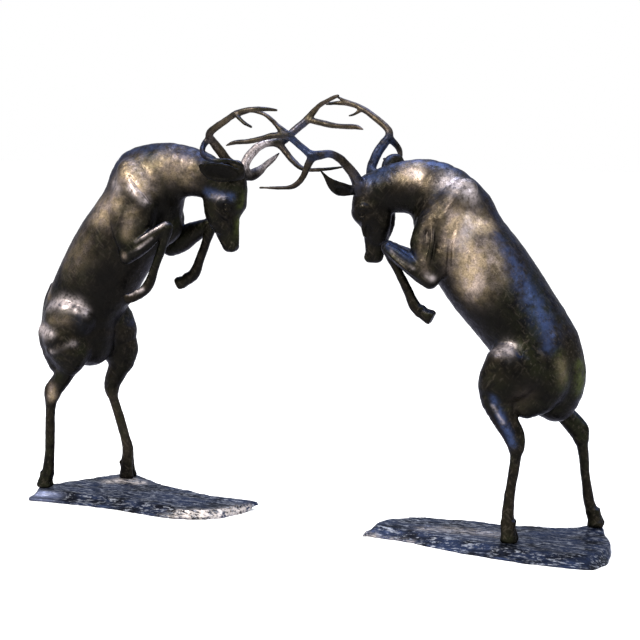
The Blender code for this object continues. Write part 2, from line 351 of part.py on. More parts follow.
def limb_mesh(stations, across):
    """A closed tube through the stations, round when across is 1 and narrower in Y when it is less."""
    curve = bpy.data.curves.new("limb", "CURVE")
    curve.dimensions = "3D"
    curve.twist_mode = "MINIMUM"
    curve.bevel_depth = 1.0
    curve.bevel_resolution = 3
    curve.use_fill_caps = True
    path = rounded(smooth_through(stations, 4))
    spline = curve.splines.new("POLY")
    spline.points.add(len(path) - 1)
    for point, station in zip(spline.points, path):
        point.co = (station.x, station.y / across, station.z, 1.0)
        point.radius = station.w
    holder = bpy.data.objects.new("limb", curve)
    mesh = bpy.data.meshes.new_from_object(holder)
    bpy.data.objects.remove(holder)
    bpy.data.curves.remove(curve)
    for vertex in mesh.vertices:
        vertex.co.y *= across
    return mesh


def posed(pose, height, stand_x, ahead, ground):
    """The limbs of a pose in the group's own frame, with the soles of the hind hooves at ground."""
    share = height / POSE_HEIGHT
    return [
        (across, [(stand_x + x * share * ahead, y * share, ground + z * share, r * share)
                  for x, y, z, r in stations])
        for _, across, stations in pose
    ]


def stag(name, limbs, ground, home, helpers):
    """All limbs run together into one cast body, thinned, and cut level under its hind hooves."""
    body = bmesh.new()
    for across, stations in limbs:
        mesh = limb_mesh(stations, across)
        body.from_mesh(mesh)
        bpy.data.meshes.remove(mesh)
    bmesh.ops.remove_doubles(body, verts=body.verts, dist=0.00001)
    mesh = bpy.data.meshes.new(name)
    body.to_mesh(mesh)
    body.free()
    obj = bpy.data.objects.new(name, mesh)
    home.objects.link(obj)

    remesh = obj.modifiers.new("cast as one", "REMESH")
    remesh.mode = "VOXEL"
    remesh.voxel_size = CELL
    blend = obj.modifiers.new("blend the joints", "SMOOTH")
    blend.factor = 0.5
    blend.iterations = BLEND_PASSES
    graph = bpy.context.evaluated_depsgraph_get()
    cells = len(obj.evaluated_get(graph).data.polygons)
    thin = obj.modifiers.new("thin", "DECIMATE")
    thin.ratio = min(1.0, STAG_TRIANGLES / (2 * cells))

    reach = 10 * BASE_THICKNESS
    block = bpy.data.meshes.new(name + " sole")
    corners = bmesh.new()
    bmesh.ops.create_cube(corners, size=1.0)
    xs = [x for _, stations in limbs for x, _, _, _ in stations]
    for vertex in corners.verts:
        vertex.co.x = (max(xs) + min(xs)) / 2 + vertex.co.x * (max(xs) - min(xs) + 1.0)
        vertex.co.y *= 2.0
        vertex.co.z = ground - reach / 2 + vertex.co.z * reach
    corners.to_mesh(block)
    corners.free()
    cutter = bpy.data.objects.new(name + " sole", block)
    cutter.hide_render = True
    cutter.display_type = "WIRE"
    helpers.objects.link(cutter)
    cut = obj.modifiers.new("level soles", "BOOLEAN")
    cut.operation = "DIFFERENCE"
    cut.solver = "EXACT"
    cut.object = cutter
    return obj


def sole_places(limbs):
    """(x, y, radius) of each hind hoof where it meets the base."""
    lowest = sorted((stations[-1] for _, stations in limbs), key=lambda station: station[2])
    return [(x, y, r) for x, y, _, r in lowest[:2]]


def base(name, soles, edges, length, rear_ledge, ahead, home):
    """A flat slab with a wavy rock-like edge, laid out from the hooves that stand on it."""
    rear = (min(x * ahead - r for x, _, r in soles) - rear_ledge) * ahead
    half_width = (max(y for _, y, _ in soles) - min(y for _, y, _ in soles)) / 2 + BASE_LEDGE
    far = [(rear + ahead * share * length, high * half_width, 0.0) for share, _, high in edges]
    near = [(rear + ahead * share * length, low * half_width, 0.0) for share, low, _ in edges]
    outline = smooth_through(far, 2) + smooth_through(near[::-1], 2)
    slab = bmesh.new()
    bottom = [slab.verts.new((point.x, point.y, 0.0)) for point in outline]
    top = [slab.verts.new((point.x, point.y, BASE_THICKNESS)) for point in outline]
    slab.faces.new(bottom)
    slab.faces.new(top[::-1])
    for index in range(len(outline)):
        after = (index + 1) % len(outline)
        slab.faces.new((bottom[after], bottom[index], top[index], top[after]))
    bmesh.ops.recalc_face_normals(slab, faces=slab.faces)
    mesh = bpy.data.meshes.new(name)
    slab.to_mesh(mesh)
    slab.free()
    obj = bpy.data.objects.new(name, mesh)
    home.objects.link(obj)
    bevel = obj.modifiers.new("worn edge", "BEVEL")
    bevel.width = BASE_EDGE_BEVEL
    bevel.segments = 1
    bevel.limit_method = "ANGLE"
    bevel.angle_limit = math.radians(60)
    return obj


def set_down(objects):
    """Moves the whole group so that the middle of its underside is at the origin."""
    graph = bpy.context.evaluated_depsgraph_get()
    corners = [
        vertex.co.copy()
        for obj in objects if not obj.hide_render
        for vertex in obj.evaluated_get(graph).data.vertices
    ]
    low = [min(corner[axis] for corner in corners) for axis in range(3)]
    high = [max(corner[axis] for corner in corners) for axis in range(3)]
    shift = Vector((-(low[0] + high[0]) / 2, -(low[1] + high[1]) / 2, -low[2]))
    for obj in objects:
        obj.location = shift


def main():
    clear()
    home = collection("fighting stags")
    helpers = collection("cutters")
    bronze = finish("patinated bronze", BRONZE, 0.38)
    rock = finish("rough bronze", ROCK_BRONZE, 0.5)
    ground = BASE_THICKNESS + SOLE_GAP
    sides = (
        ("left", LEFT_POSE, LEFT_HEIGHT, -STAND_SPACING / 2, 1, LEFT_EDGES, LEFT_BASE_LENGTH,
         LEFT_REAR_LEDGE),
        ("right", RIGHT_POSE, RIGHT_HEIGHT, STAND_SPACING / 2, -1, RIGHT_EDGES, RIGHT_BASE_LENGTH,
         RIGHT_REAR_LEDGE),
    )
    for side, pose, height, stand_x, ahead, edges, length, rear_ledge in sides:
        limbs = posed(pose, height, stand_x, ahead, ground)
        figure = stag(side + "_stag", limbs, ground, home, helpers)
        figure.data.materials.append(bronze)
        slab = base(side + "_base", sole_places(limbs), edges, length, rear_ledge, ahead, home)
        slab.data.materials.append(rock)
    set_down([*home.objects, *helpers.objects])


main()
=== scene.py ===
"""The look of two life-size bronze stags that rear up and lock antlers, each on its own rock-like base.

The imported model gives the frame: X runs along the line that joins the stags, Y across it and Z up,
with the middle of the underside at the origin. Metres throughout.
"""

import logging
import math
from dataclasses import dataclass, field
from enum import Enum

import bpy
import numpy as np
import openvdb
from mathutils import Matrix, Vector


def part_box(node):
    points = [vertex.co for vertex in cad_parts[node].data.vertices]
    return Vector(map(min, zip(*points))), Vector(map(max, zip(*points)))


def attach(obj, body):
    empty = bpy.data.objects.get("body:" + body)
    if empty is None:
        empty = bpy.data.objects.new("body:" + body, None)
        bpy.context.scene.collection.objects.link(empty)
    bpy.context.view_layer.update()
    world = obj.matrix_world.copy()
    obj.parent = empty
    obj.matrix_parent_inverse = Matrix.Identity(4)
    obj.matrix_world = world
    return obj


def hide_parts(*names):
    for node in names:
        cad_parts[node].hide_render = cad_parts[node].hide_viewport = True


log = logging.getLogger("stags")
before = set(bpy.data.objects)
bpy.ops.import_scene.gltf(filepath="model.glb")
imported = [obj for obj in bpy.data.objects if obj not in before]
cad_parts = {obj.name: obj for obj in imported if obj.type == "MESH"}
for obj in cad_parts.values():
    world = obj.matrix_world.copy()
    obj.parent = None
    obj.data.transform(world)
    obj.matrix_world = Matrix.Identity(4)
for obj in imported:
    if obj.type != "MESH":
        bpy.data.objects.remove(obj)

Station = tuple[float, float, float, float]
Spot = tuple[float, float, float]
Colour = tuple[float, float, float, float]

FINE_CELL = 0.0035
SOLE_CUT = 0.09


class Work(Enum):
    """What a stroke does to the clay."""

    ADD = "add"
    CUT = "cut"


class Side(Enum):
    """The side of the group that a stag stands on, with the way it faces along X."""

    LEFT = 1
    RIGHT = -1

    @property
    def word(self) -> str:
        """The side in lower case, as the piece names have it."""
        return self.name.lower()


@dataclass(frozen=True)
class Stroke:
    """One rounded limb of clay, laid on or cut away along its stations.

    A station is ahead of the stand point, across, above the base and the radius there. Across is the
    stroke's width along thin as a share of its depth, and blend is how far it runs into the clay.
    """

    name: str
    stations: tuple[Station, ...]
    across: float = 1.0
    blend: float = 0.02
    work: Work = Work.ADD
    thin: Spot = (0.0, 1.0, 0.0)


def smooth_path(stations: tuple[Station, ...]) -> np.ndarray:
    """Points of a smooth spline through the stations, closer together where the limb is thin.

    Args:
        stations: Place and radius at each station.

    Returns:
        An array of places and radii, one row a point.
    """
    marks = np.array(stations, float)
    if len(marks) == 1:
        return np.vstack([marks, marks + (0, 0, 1e-4, 0)])
    marks = np.vstack([2 * marks[0] - marks[1], marks, 2 * marks[-1] - marks[-2]])
    rows = []
    for before, start, end, after in zip(marks, marks[1:], marks[2:], marks[3:]):
        step = min(0.05, max(0.008, 0.6 * min(start[3], end[3])))
        count = max(1, math.ceil(np.linalg.norm((end - start)[:3]) / step))
        t = (np.arange(count) / count)[:, None]
        rows.append(
            0.5 * (2 * start + (end - before) * t + (2 * before - 5 * start + 4 * end - after) * t**2
                   + (3 * start - before - 3 * end + after) * t**3)
        )
    path = np.vstack([*rows, marks[-2:-1]])
    path[:, 3] = np.maximum(path[:, 3], 0.0015)
    return path


class Clay:
    """A block of space in which strokes are laid on and cut away, to be skinned at the end."""

    def __init__(self, low: Spot, high: Spot, cell: float, reach: float = 0.06) -> None:
        """Sets up an empty block.

        Args:
            low: Lowest corner of the block.
            high: Highest corner of the block.
            cell: Distance between two samples.
            reach: Greatest distance from the clay that is kept.
        """
        self.low = np.array(low, np.float32)
        self.cell = cell
        self.reach = reach
        counts = np.ceil((np.array(high) - low) / cell).astype(int) + 1
        self.depth = np.full(counts, reach, np.float32)

    def window(self, low: np.ndarray, high: np.ndarray) -> tuple[slice, slice, slice]:
        """The samples between two corners, as one slice an axis."""
        first = np.floor((low - self.low) / self.cell).astype(int)
        last = np.ceil((high - self.low) / self.cell).astype(int) + 1
        return tuple(slice(max(0, a), max(0, min(b, n)))
                     for a, b, n in zip(first, last, self.depth.shape))

    def axes(self, window: tuple[slice, slice, slice]) -> list[np.ndarray]:
        """The X, Y and Z of a window's samples, shaped so that they combine into its grid."""
        made = []
        for axis, part in enumerate(window):
            values = self.low[axis] + self.cell * np.arange(part.start, part.stop, dtype=np.float32)
            shape = [1, 1, 1]
            shape[axis] = -1
            made.append(values.astype(np.float32).reshape(shape))
        return made

    def limb(self, path: np.ndarray, across: float, thin: Spot, margin: float
             ) -> tuple[tuple[slice, slice, slice], np.ndarray]:
        """How far each sample near a limb is from its skin.

        Args:
            path: Places and radii along the limb.
            across: Width along thin as a share of the depth.
            thin: The direction in which the limb is thin.
            margin: How far outside the limb the distance is wanted.

        Returns:
            The window round the limb, and the signed distances there.
        """
        away = np.array(thin, float)
        away /= np.linalg.norm(away)
        gain = 1 / across - 1
        reach = path[:, 3:] + margin
        whole = self.window((path[:, :3] - reach).min(0), (path[:, :3] + reach).max(0))
        out = np.full([part.stop - part.start for part in whole], self.reach, np.float32)
        stretched = path[:, :3] + gain * (path[:, :3] @ away)[:, None] * away
        for a, b, pa, pb in zip(path, path[1:], stretched, stretched[1:]):
            wide = max(a[3], b[3]) + margin
            part = self.window(np.minimum(a, b)[:3] - wide, np.maximum(a, b)[:3] + wide)
            part = tuple(slice(max(p.start, w.start), min(p.stop, w.stop)) for p, w in zip(part, whole))
            if any(p.stop <= p.start for p in part):
                continue
            x, y, z = self.axes(part)
            if abs(away[1]) > 0.999:
                x, y, z = x - pa[0], y * (1 + gain) - pa[1], z - pa[2]
            else:
                lean = gain * (x * away[0] + y * away[1] + z * away[2])
                x, y, z = (axis + lean * share - start
                           for axis, share, start in zip((x, y, z), away, pa))
            run = (pb - pa).astype(np.float32)
            square = max(float(run @ run), 1e-12)
            along = x * run[0] + y * run[1] + z * run[2]
            t = np.clip(along / square, 0, 1)
            gap = x * x + y * y + z * z - 2 * t * along + t * t * square
            distance = np.sqrt(np.maximum(gap, 0)) - (a[3] + t * (b[3] - a[3]))
            inner = tuple(slice(p.start - w.start, p.stop - w.start) for p, w in zip(part, whole))
            np.minimum(out[inner], distance.astype(np.float32), out=out[inner])
        return whole, out

    def work(self, stroke: Stroke, path: np.ndarray, thin: Spot) -> None:
        """Lays a stroke on the clay, or cuts it away.

        Args:
            stroke: What is done, and how.
            path: Its places and radii in the block's own frame.
            thin: The direction in which it is thin, in that frame.
        """
        margin = 2.0 * stroke.blend + 2 * self.cell
        window, distance = self.limb(path, stroke.across, thin, margin)
        held = self.depth[window]
        if stroke.work is Work.CUT:
            distance = -distance
        near = np.maximum(stroke.blend - np.abs(held - distance), 0) ** 2 / (4 * stroke.blend)
        if stroke.work is Work.CUT:
            held[...] = np.maximum(held, distance) + near
        else:
            held[...] = np.minimum(held, distance) - near

    def level(self, height: float) -> None:
        """Cuts the clay flat at a height and takes away what is below it."""
        window = self.window(self.low, np.array([1e3, 1e3, height + self.reach]))
        held = self.depth[window]
        np.maximum(held, height - self.axes(window)[2], out=held)

    def skin(self, name: str) -> bpy.types.Mesh:
        """Takes the clay's surface off as a closed mesh of quads."""
        grid = openvdb.FloatGrid()
        grid.background = self.reach
        grid.copyFromArray(np.minimum(self.depth, self.reach), ijk=(0, 0, 0), tolerance=0)
        points, quads = grid.convertToQuads(isovalue=0.0)
        return mesh_of(name, points * self.cell + self.low, quads)


def mesh_of(name: str, points: np.ndarray, faces: np.ndarray) -> bpy.types.Mesh:
    """A smooth-shaded mesh from an array of points and one of faces with equally many corners."""
    mesh = bpy.data.meshes.new(name)
    count, corners = faces.shape
    mesh.vertices.add(len(points))
    mesh.vertices.foreach_set("co", np.ascontiguousarray(points, np.float32).ravel())
    mesh.loops.add(count * corners)
    mesh.loops.foreach_set("vertex_index", np.ascontiguousarray(faces, np.int32).ravel())
    mesh.polygons.add(count)
    mesh.polygons.foreach_set("loop_start", np.arange(0, count * corners, corners, dtype=np.int32))
    mesh.update(calc_edges=True)
    mesh.validate()
    mesh.shade_smooth()
    return mesh


def hand_marks(obj: bpy.types.Object, size: float, depth: float) -> None:
    """Adds soft dents of a given size and depth, as fingers and a wooden tool leave in wax."""
    texture = bpy.data.textures.new(f"{obj.name} marks {size}", "CLOUDS")
    texture.noise_scale = size
    texture.noise_depth = 1
    marks = obj.modifiers.new(f"marks {size}", "DISPLACE")
    marks.texture = texture
    marks.texture_coords = "LOCAL"
    marks.strength = depth
    marks.mid_level = 0.5


def settle(obj: bpy.types.Object) -> None:
    """Applies every modifier of an object, and leaves it with a plain mesh."""
    graph = bpy.context.evaluated_depsgraph_get()
    made = bpy.data.meshes.new_from_object(obj.evaluated_get(graph))
    obj.modifiers.clear()
    old, obj.data = obj.data, made
    bpy.data.meshes.remove(old)
    made.shade_smooth()


class Tone(Enum):
    """A tone painted on part of the bronze: painted sunlit patches, painted glints, painted sky and
    greenish reflections, and painted shade.
    """

    TAN = "tan"
    PAINTED_GLINT = "painted_glint"
    BLUE = "blue"
    GREEN = "green"
    SOOT = "soot"


class Shader:
    """A short way to lay out a material's nodes."""

    def __init__(self, name: str) -> None:
        """Makes an empty material with a Principled shader at its end."""
        self.material = bpy.data.materials.new(name)
        self.material.use_nodes = True
        self.tree = self.material.node_tree
        self.end = self.tree.nodes["Principled BSDF"]
        place = self.tree.nodes.new("ShaderNodeTexCoord")
        self.place = place.outputs["Object"]
        self.geometry = self.tree.nodes.new("ShaderNodeNewGeometry")

    def link(self, source: bpy.types.NodeSocket, target: bpy.types.NodeSocket) -> None:
        """Joins an output to an input."""
        self.tree.links.new(source, target)

    def feed(self, target: bpy.types.NodeSocket, value: object) -> None:
        """Joins an input to an output, or sets it to a number or colour."""
        if isinstance(value, bpy.types.NodeSocket):
            self.link(value, target)
        else:
            target.default_value = value

    def noise(self, scale: float, detail: float = 3.0, stretch: Spot = (1.0, 1.0, 1.0),
              rough: float = 0.55, shift: float = 0.0, turn: Spot = (0.0, 0.0, 0.0)
              ) -> bpy.types.NodeSocket:
        """Cloudy variation from 0 to 1.

        Args:
            scale: How many clouds there are to a metre.
            detail: How many finer layers it has.
            stretch: How much denser the clouds are along each axis.
            rough: How strong the finer layers are.
            shift: How far the pattern is moved, to tell two of them apart.
            turn: How far it is turned about each axis before it is stretched.

        Returns:
            The socket with the variation.
        """
        spread = self.tree.nodes.new("ShaderNodeMapping")
        spread.inputs["Scale"].default_value = stretch
        if any(turn):
            spread.vector_type = "TEXTURE"
            spread.inputs["Rotation"].default_value = turn
            spread.inputs["Scale"].default_value = tuple(1 / way for way in stretch)
        spread.inputs["Location"].default_value = (shift, shift * 0.7, -shift)
        self.link(self.place, spread.inputs["Vector"])
        node = self.tree.nodes.new("ShaderNodeTexNoise")
        node.inputs["Scale"].default_value = scale
        node.inputs["Detail"].default_value = detail
        node.inputs["Roughness"].default_value = rough
        self.link(spread.outputs["Vector"], node.inputs["Vector"])
        return node.outputs["Fac"]

    def span(self, value: bpy.types.NodeSocket, low: float, high: float, start: float = 0.0,
             end: float = 1.0) -> bpy.types.NodeSocket:
        """Stretches the values between low and high over start to end, with soft ends."""
        node = self.tree.nodes.new("ShaderNodeMapRange")
        node.interpolation_type = "SMOOTHSTEP"
        self.link(value, node.inputs["Value"])
        for name, number in (("From Min", low), ("From Max", high), ("To Min", start), ("To Max", end)):
            node.inputs[name].default_value = number
        return node.outputs["Result"]

    def math(self, operation: str, first: object, second: object) -> bpy.types.NodeSocket:
        """The result of a sum, product or other operation on two values, kept from 0 to 1."""
        node = self.tree.nodes.new("ShaderNodeMath")
        node.operation = operation
        node.use_clamp = True
        self.feed(node.inputs[0], first)
        self.feed(node.inputs[1], second)
        return node.outputs[0]

    def mix(self, amount: object, first: object, second: object) -> bpy.types.NodeSocket:
        """A colour between two colours."""
        node = self.tree.nodes.new("ShaderNodeMix")
        node.data_type = "RGBA"
        self.feed(node.inputs["Factor"], amount)
        self.feed(node.inputs["A"], first)
        self.feed(node.inputs["B"], second)
        return node.outputs["Result"]

    def mark(self, tone: Tone) -> bpy.types.NodeSocket:
        """How strongly a tone covers the surface, as the piece's mesh holds it."""
        node = self.tree.nodes.new("ShaderNodeAttribute")
        node.attribute_name = tone.value
        return node.outputs["Fac"]

    def facing(self, axis: str) -> bpy.types.NodeSocket:
        """How far the surface faces along X, Y or Z, from -1 to 1."""
        node = self.tree.nodes.new("ShaderNodeSeparateXYZ")
        self.link(self.geometry.outputs["Normal"], node.inputs[0])
        return node.outputs[axis]

    def relief(self, height: bpy.types.NodeSocket, strength: float, depth: float,
               below: bpy.types.NodeSocket | None = None) -> bpy.types.NodeSocket:
        """A bump from a height, on top of another bump if one is given."""
        node = self.tree.nodes.new("ShaderNodeBump")
        node.inputs["Strength"].default_value = strength
        node.inputs["Distance"].default_value = depth
        self.link(height, node.inputs["Height"])
        if below is not None:
            self.link(below, node.inputs["Normal"])
        return node.outputs["Normal"]

    def metal(self, body: bpy.types.NodeSocket, share: float, shine: float, gloss: Colour) -> None:
        """Sets the surface's look as metal.

        Args:
            body: Its colour.
            share: How metallic it is, from 0 to 1.
            shine: How strongly what isn't metallic shines.
            gloss: The colour of that shine.
        """
        self.feed(self.end.inputs["Base Color"], body)
        self.end.inputs["Metallic"].default_value = share
        self.end.inputs["Specular IOR Level"].default_value = shine
        self.end.inputs["Specular Tint"].default_value = gloss


@dataclass(frozen=True)
class Dab:
    """A soft run of one tone along its stations, strongest on their line and gone past their radius."""

    tone: Tone
    stations: tuple[Station, ...]
    strength: float = 1.0

    def cover(self, places: np.ndarray) -> np.ndarray:
        """How strongly the dab covers each of some places.

        Args:
            places: One place a row, in the frame of the stations.

        Returns:
            A share from 0 to the dab's strength for each place.
        """
        marks = np.array(self.stations, np.float32)
        if len(marks) == 1:
            marks = np.vstack([marks, marks + (0, 0, 1e-4, 0)])
        best = np.zeros(len(places), np.float32)
        for start, end in zip(marks, marks[1:]):
            run = end[:3] - start[:3]
            t = np.clip((places - start[:3]) @ run / max(float(run @ run), 1e-12), 0, 1)
            gap = ((places - start[:3] - t[:, None] * run) ** 2).sum(1)
            best = np.maximum(best, np.exp(-gap / (start[3] + t * (end[3] - start[3])) ** 2))
        return self.strength * best


def dab(tone: Tone, *stations: Station, strength: float = 1.0) -> Dab:
    """A dab of a tone."""
    return Dab(tone, stations, strength)


def tint(obj: bpy.types.Object, dabs: list[Dab]) -> None:
    """Notes on a mesh how strongly each tone covers each of its points."""
    mesh = obj.data
    places = np.empty(len(mesh.vertices) * 3, np.float32)
    mesh.vertices.foreach_get("co", places)
    places = places.reshape(-1, 3)
    for tone in Tone:
        cover = np.zeros(len(places), np.float32)
        for one in dabs:
            if one.tone is tone:
                cover = np.maximum(cover, one.cover(places))
        mesh.attributes.new(tone.value, "FLOAT", "POINT").data.foreach_set("value", cover)


@dataclass(frozen=True)
class StagBronze:
    """Waxed dark bronze: painted near-black shade below, olive brown on the flanks, a painted sky
    reflection on top, painted sunlit patches.
    """

    # Near-black for random stains, and for the painted shade on the undersides and in shadowed places.
    soot: Colour = (0.0028, 0.0025, 0.0021, 1.0)
    brown: Colour = (0.0118, 0.0092, 0.0060, 1.0)
    olive: Colour = (0.0100, 0.0106, 0.0052, 1.0)
    # Sunlit patches painted into the colour as painted highlights, with a rosier share.
    tan: Colour = (0.42, 0.320, 0.210, 1.0)
    sunlit_rose: Colour = (0.44, 0.345, 0.295, 1.0)
    # Painted glints and highlights.
    painted_glint: Colour = (0.52, 0.45, 0.45, 1.0)
    # Painted sky reflection on the tops.
    blue: Colour = (0.028, 0.043, 0.100, 1.0)
    # Painted greenish reflection.
    green: Colour = (0.050, 0.060, 0.018, 1.0)
    scratch: Colour = (0.075, 0.062, 0.048, 1.0)
    gloss: Colour = (0.55, 0.55, 0.62, 1.0)
    drawn_out: Spot = (1.0, 1.0, 0.16)
    steep: Spot = (0.35, 0.55, 0.2)
    slant: Spot = (-0.4, -0.75, 0.5)

    def material(self) -> bpy.types.Material:
        """Builds the finish.

        Returns:
            The material of both stags.
        """
        coat = Shader("patinated bronze")
        body = coat.mix(coat.span(coat.noise(5.0, 4.0), 0.38, 0.62), self.brown, self.olive)
        stains = coat.span(coat.noise(20.0, 5.0, shift=3.0), 0.44, 0.64, 0.0, 0.8)
        body = coat.mix(stains, body, self.soot)
        steep = coat.span(coat.noise(90.0, 4.0, self.drawn_out, 0.6, 11.0, self.steep), 0.54, 0.66)
        slant = coat.span(coat.noise(85.0, 4.0, self.drawn_out, 0.6, 17.0, self.slant), 0.55, 0.67)
        scratches = coat.math("MAXIMUM", steep, slant)
        body = coat.mix(coat.math("MULTIPLY", scratches, 0.3), body, self.scratch)
        # Painted shade: surfaces that face down are darkened to near-black, for the shade under the
        # body.
        below = coat.span(coat.facing("Z"), -0.35, 0.25, 1.0, 0.0)
        body = coat.mix(coat.math("MULTIPLY", below, 0.8), body, self.soot)
        coat.metal(self.rubbed(coat, self.reflections_and_shade(coat, body)), 0.85, 0.25, self.gloss)
        worn = coat.span(coat.noise(40.0, 3.0, shift=9.0), 0.3, 0.7, 0.34, 0.5)
        coat.feed(coat.end.inputs["Roughness"], worn)
        grain = coat.relief(coat.noise(260.0, 3.0), 0.3, 0.001)
        grooves = coat.relief(scratches, 0.35, 0.0012, grain)
        dents = coat.relief(coat.noise(60.0, 3.0, shift=2.0), 0.35, 0.003, grooves)
        coat.feed(coat.end.inputs["Normal"], dents)
        coat.material.diffuse_color = self.brown
        return coat.material

    def reflections_and_shade(self, coat: Shader, body: bpy.types.NodeSocket) -> bpy.types.NodeSocket:
        """Lays on the painted reflections and the painted shade.

        Args:
            coat: The shader that is being laid out.
            body: The colour so far.

        Returns:
            The colour with the painted sky reflection on the tops, the painted greenish reflection and
            the painted shade.
        """
        # Painted sky reflection: upward-facing surfaces and the dabs laid for it turn sky-coloured,
        # broken by the mottle.
        top = coat.math("MULTIPLY", coat.span(coat.facing("Z"), 0.3, 0.9), 0.55)
        mottle = coat.span(coat.noise(26.0, 5.0, shift=7.0, rough=0.7), 0.34, 0.62, 0.15, 1.0)
        sky_reflection = coat.math("MULTIPLY", coat.math("MAXIMUM", top, coat.mark(Tone.BLUE)), mottle)
        body = coat.mix(sky_reflection, body, self.blue)
        # Painted greenish reflection where its dabs lie.
        body = coat.mix(coat.math("MULTIPLY", coat.mark(Tone.GREEN), mottle), body, self.green)
        # Painted shade: near-black where the shade dabs lie.
        return coat.mix(coat.mark(Tone.SOOT), body, self.soot)

    def rubbed(self, coat: Shader, body: bpy.types.NodeSocket) -> bpy.types.NodeSocket:
        """Lays on the painted sunlit patches and the painted glints.

        Args:
            coat: The shader that is being laid out.
            body: The colour so far.

        Returns:
            The colour with the painted sunlit patches and the painted pale glints, both broken up.
        """
        # Painted sunlit patches, broken by clouds and pits, in a mix of two colours.
        clouds = coat.span(coat.noise(13.0, 7.0, shift=5.0, rough=0.68), 0.34, 0.62, 0.28, 1.0)
        pits = coat.span(coat.noise(150.0, 4.0, shift=31.0, rough=0.7), 0.36, 0.58, 0.55, 1.0)
        broken = coat.math("MULTIPLY", clouds, pits)
        reddish = coat.span(coat.noise(16.0, 5.0, shift=21.0, rough=0.6), 0.40, 0.62)
        sunlit_colour = coat.mix(reddish, self.tan, self.sunlit_rose)
        body = coat.mix(coat.math("MULTIPLY", coat.mark(Tone.TAN), broken), body, sunlit_colour)
        # Painted pale glints, broken into flecks.
        flecks = coat.span(coat.noise(40.0, 7.0, shift=13.0, rough=0.76), 0.36, 0.56, 0.2, 1.0)
        return coat.mix(coat.math("MULTIPLY", coat.mark(Tone.PAINTED_GLINT), flecks), body, self.painted_glint)


@dataclass(frozen=True)
class RockBronze:
    """Chiselled bronze of the bases: navy, with a broken pale grain along its length that is partly
    painted glint, painted pale highlights, and a painted sky reflection on the sloped end.
    """

    deep: Colour = (0.0035, 0.0042, 0.0075, 1.0)
    navy: Colour = (0.016, 0.024, 0.055, 1.0)
    # Grey of the chisel streaks, partly painted glints.
    grain: Colour = (0.30, 0.32, 0.38, 1.0)
    # Painted pale highlights.
    painted_glint: Colour = (0.62, 0.56, 0.54, 1.0)
    # Painted sky reflection.
    sky_lavender: Colour = (0.10, 0.115, 0.19, 1.0)
    gloss: Colour = (0.55, 0.58, 0.68, 1.0)

    def material(self) -> bpy.types.Material:
        """Builds the finish.

        Returns:
            The material of both bases.
        """
        coat = Shader("rough bronze")
        clouds = coat.span(coat.noise(16.0, 5.0, (0.45, 1.0, 1.0)), 0.36, 0.62)
        body = coat.mix(clouds, self.deep, self.navy)
        # Chisel streaks along the length in grey, partly painted glints.
        glint = coat.span(coat.noise(80.0, 6.0, (0.3, 1.0, 1.0), 0.74, 4.0), 0.51, 0.63)
        body = coat.mix(coat.math("MULTIPLY", glint, 0.75), body, self.grain)
        broken = coat.span(coat.noise(70.0, 6.0, (0.4, 1.0, 1.0), 0.78, 8.0), 0.43, 0.55, 0.0, 1.0)
        # Painted pale highlights where their dabs lie.
        body = coat.mix(coat.math("MULTIPLY", coat.mark(Tone.PAINTED_GLINT), broken), body, self.painted_glint)
        # Painted sky reflection where its dabs lie.
        body = coat.mix(coat.math("MULTIPLY", coat.mark(Tone.BLUE), 0.8), body, self.sky_lavender)
        # Painted shade where its dabs lie; none are laid on the bases.
        coat.metal(coat.mix(coat.mark(Tone.SOOT), body, self.deep), 0.8, 0.3, self.gloss)
        worn = coat.span(coat.noise(50.0, 3.0, shift=6.0), 0.3, 0.7, 0.36, 0.56)
        coat.feed(coat.end.inputs["Roughness"], worn)
        chips = coat.relief(coat.noise(180.0, 4.0, (0.4, 1.0, 1.0)), 0.6, 0.002)
        cuts = coat.relief(coat.noise(45.0, 4.0, (0.35, 1.0, 1.0), shift=2.0), 0.6, 0.006, chips)
        coat.feed(coat.end.inputs["Normal"], cuts)
        coat.material.diffuse_color = self.navy
        return coat.material


def add(name: str, *stations: Station, across: float = 1.0, blend: float = 0.02,
        thin: Spot = (0.0, 1.0, 0.0)) -> Stroke:
    """A stroke that lays clay on."""
    return Stroke(name, stations, across, blend, Work.ADD, thin)


def cut(name: str, *stations: Station, across: float = 1.0, blend: float = 0.01,
        thin: Spot = (0.0, 1.0, 0.0)) -> Stroke:
    """A stroke that cuts clay away."""
    return Stroke(name, stations, across, blend, Work.CUT, thin)


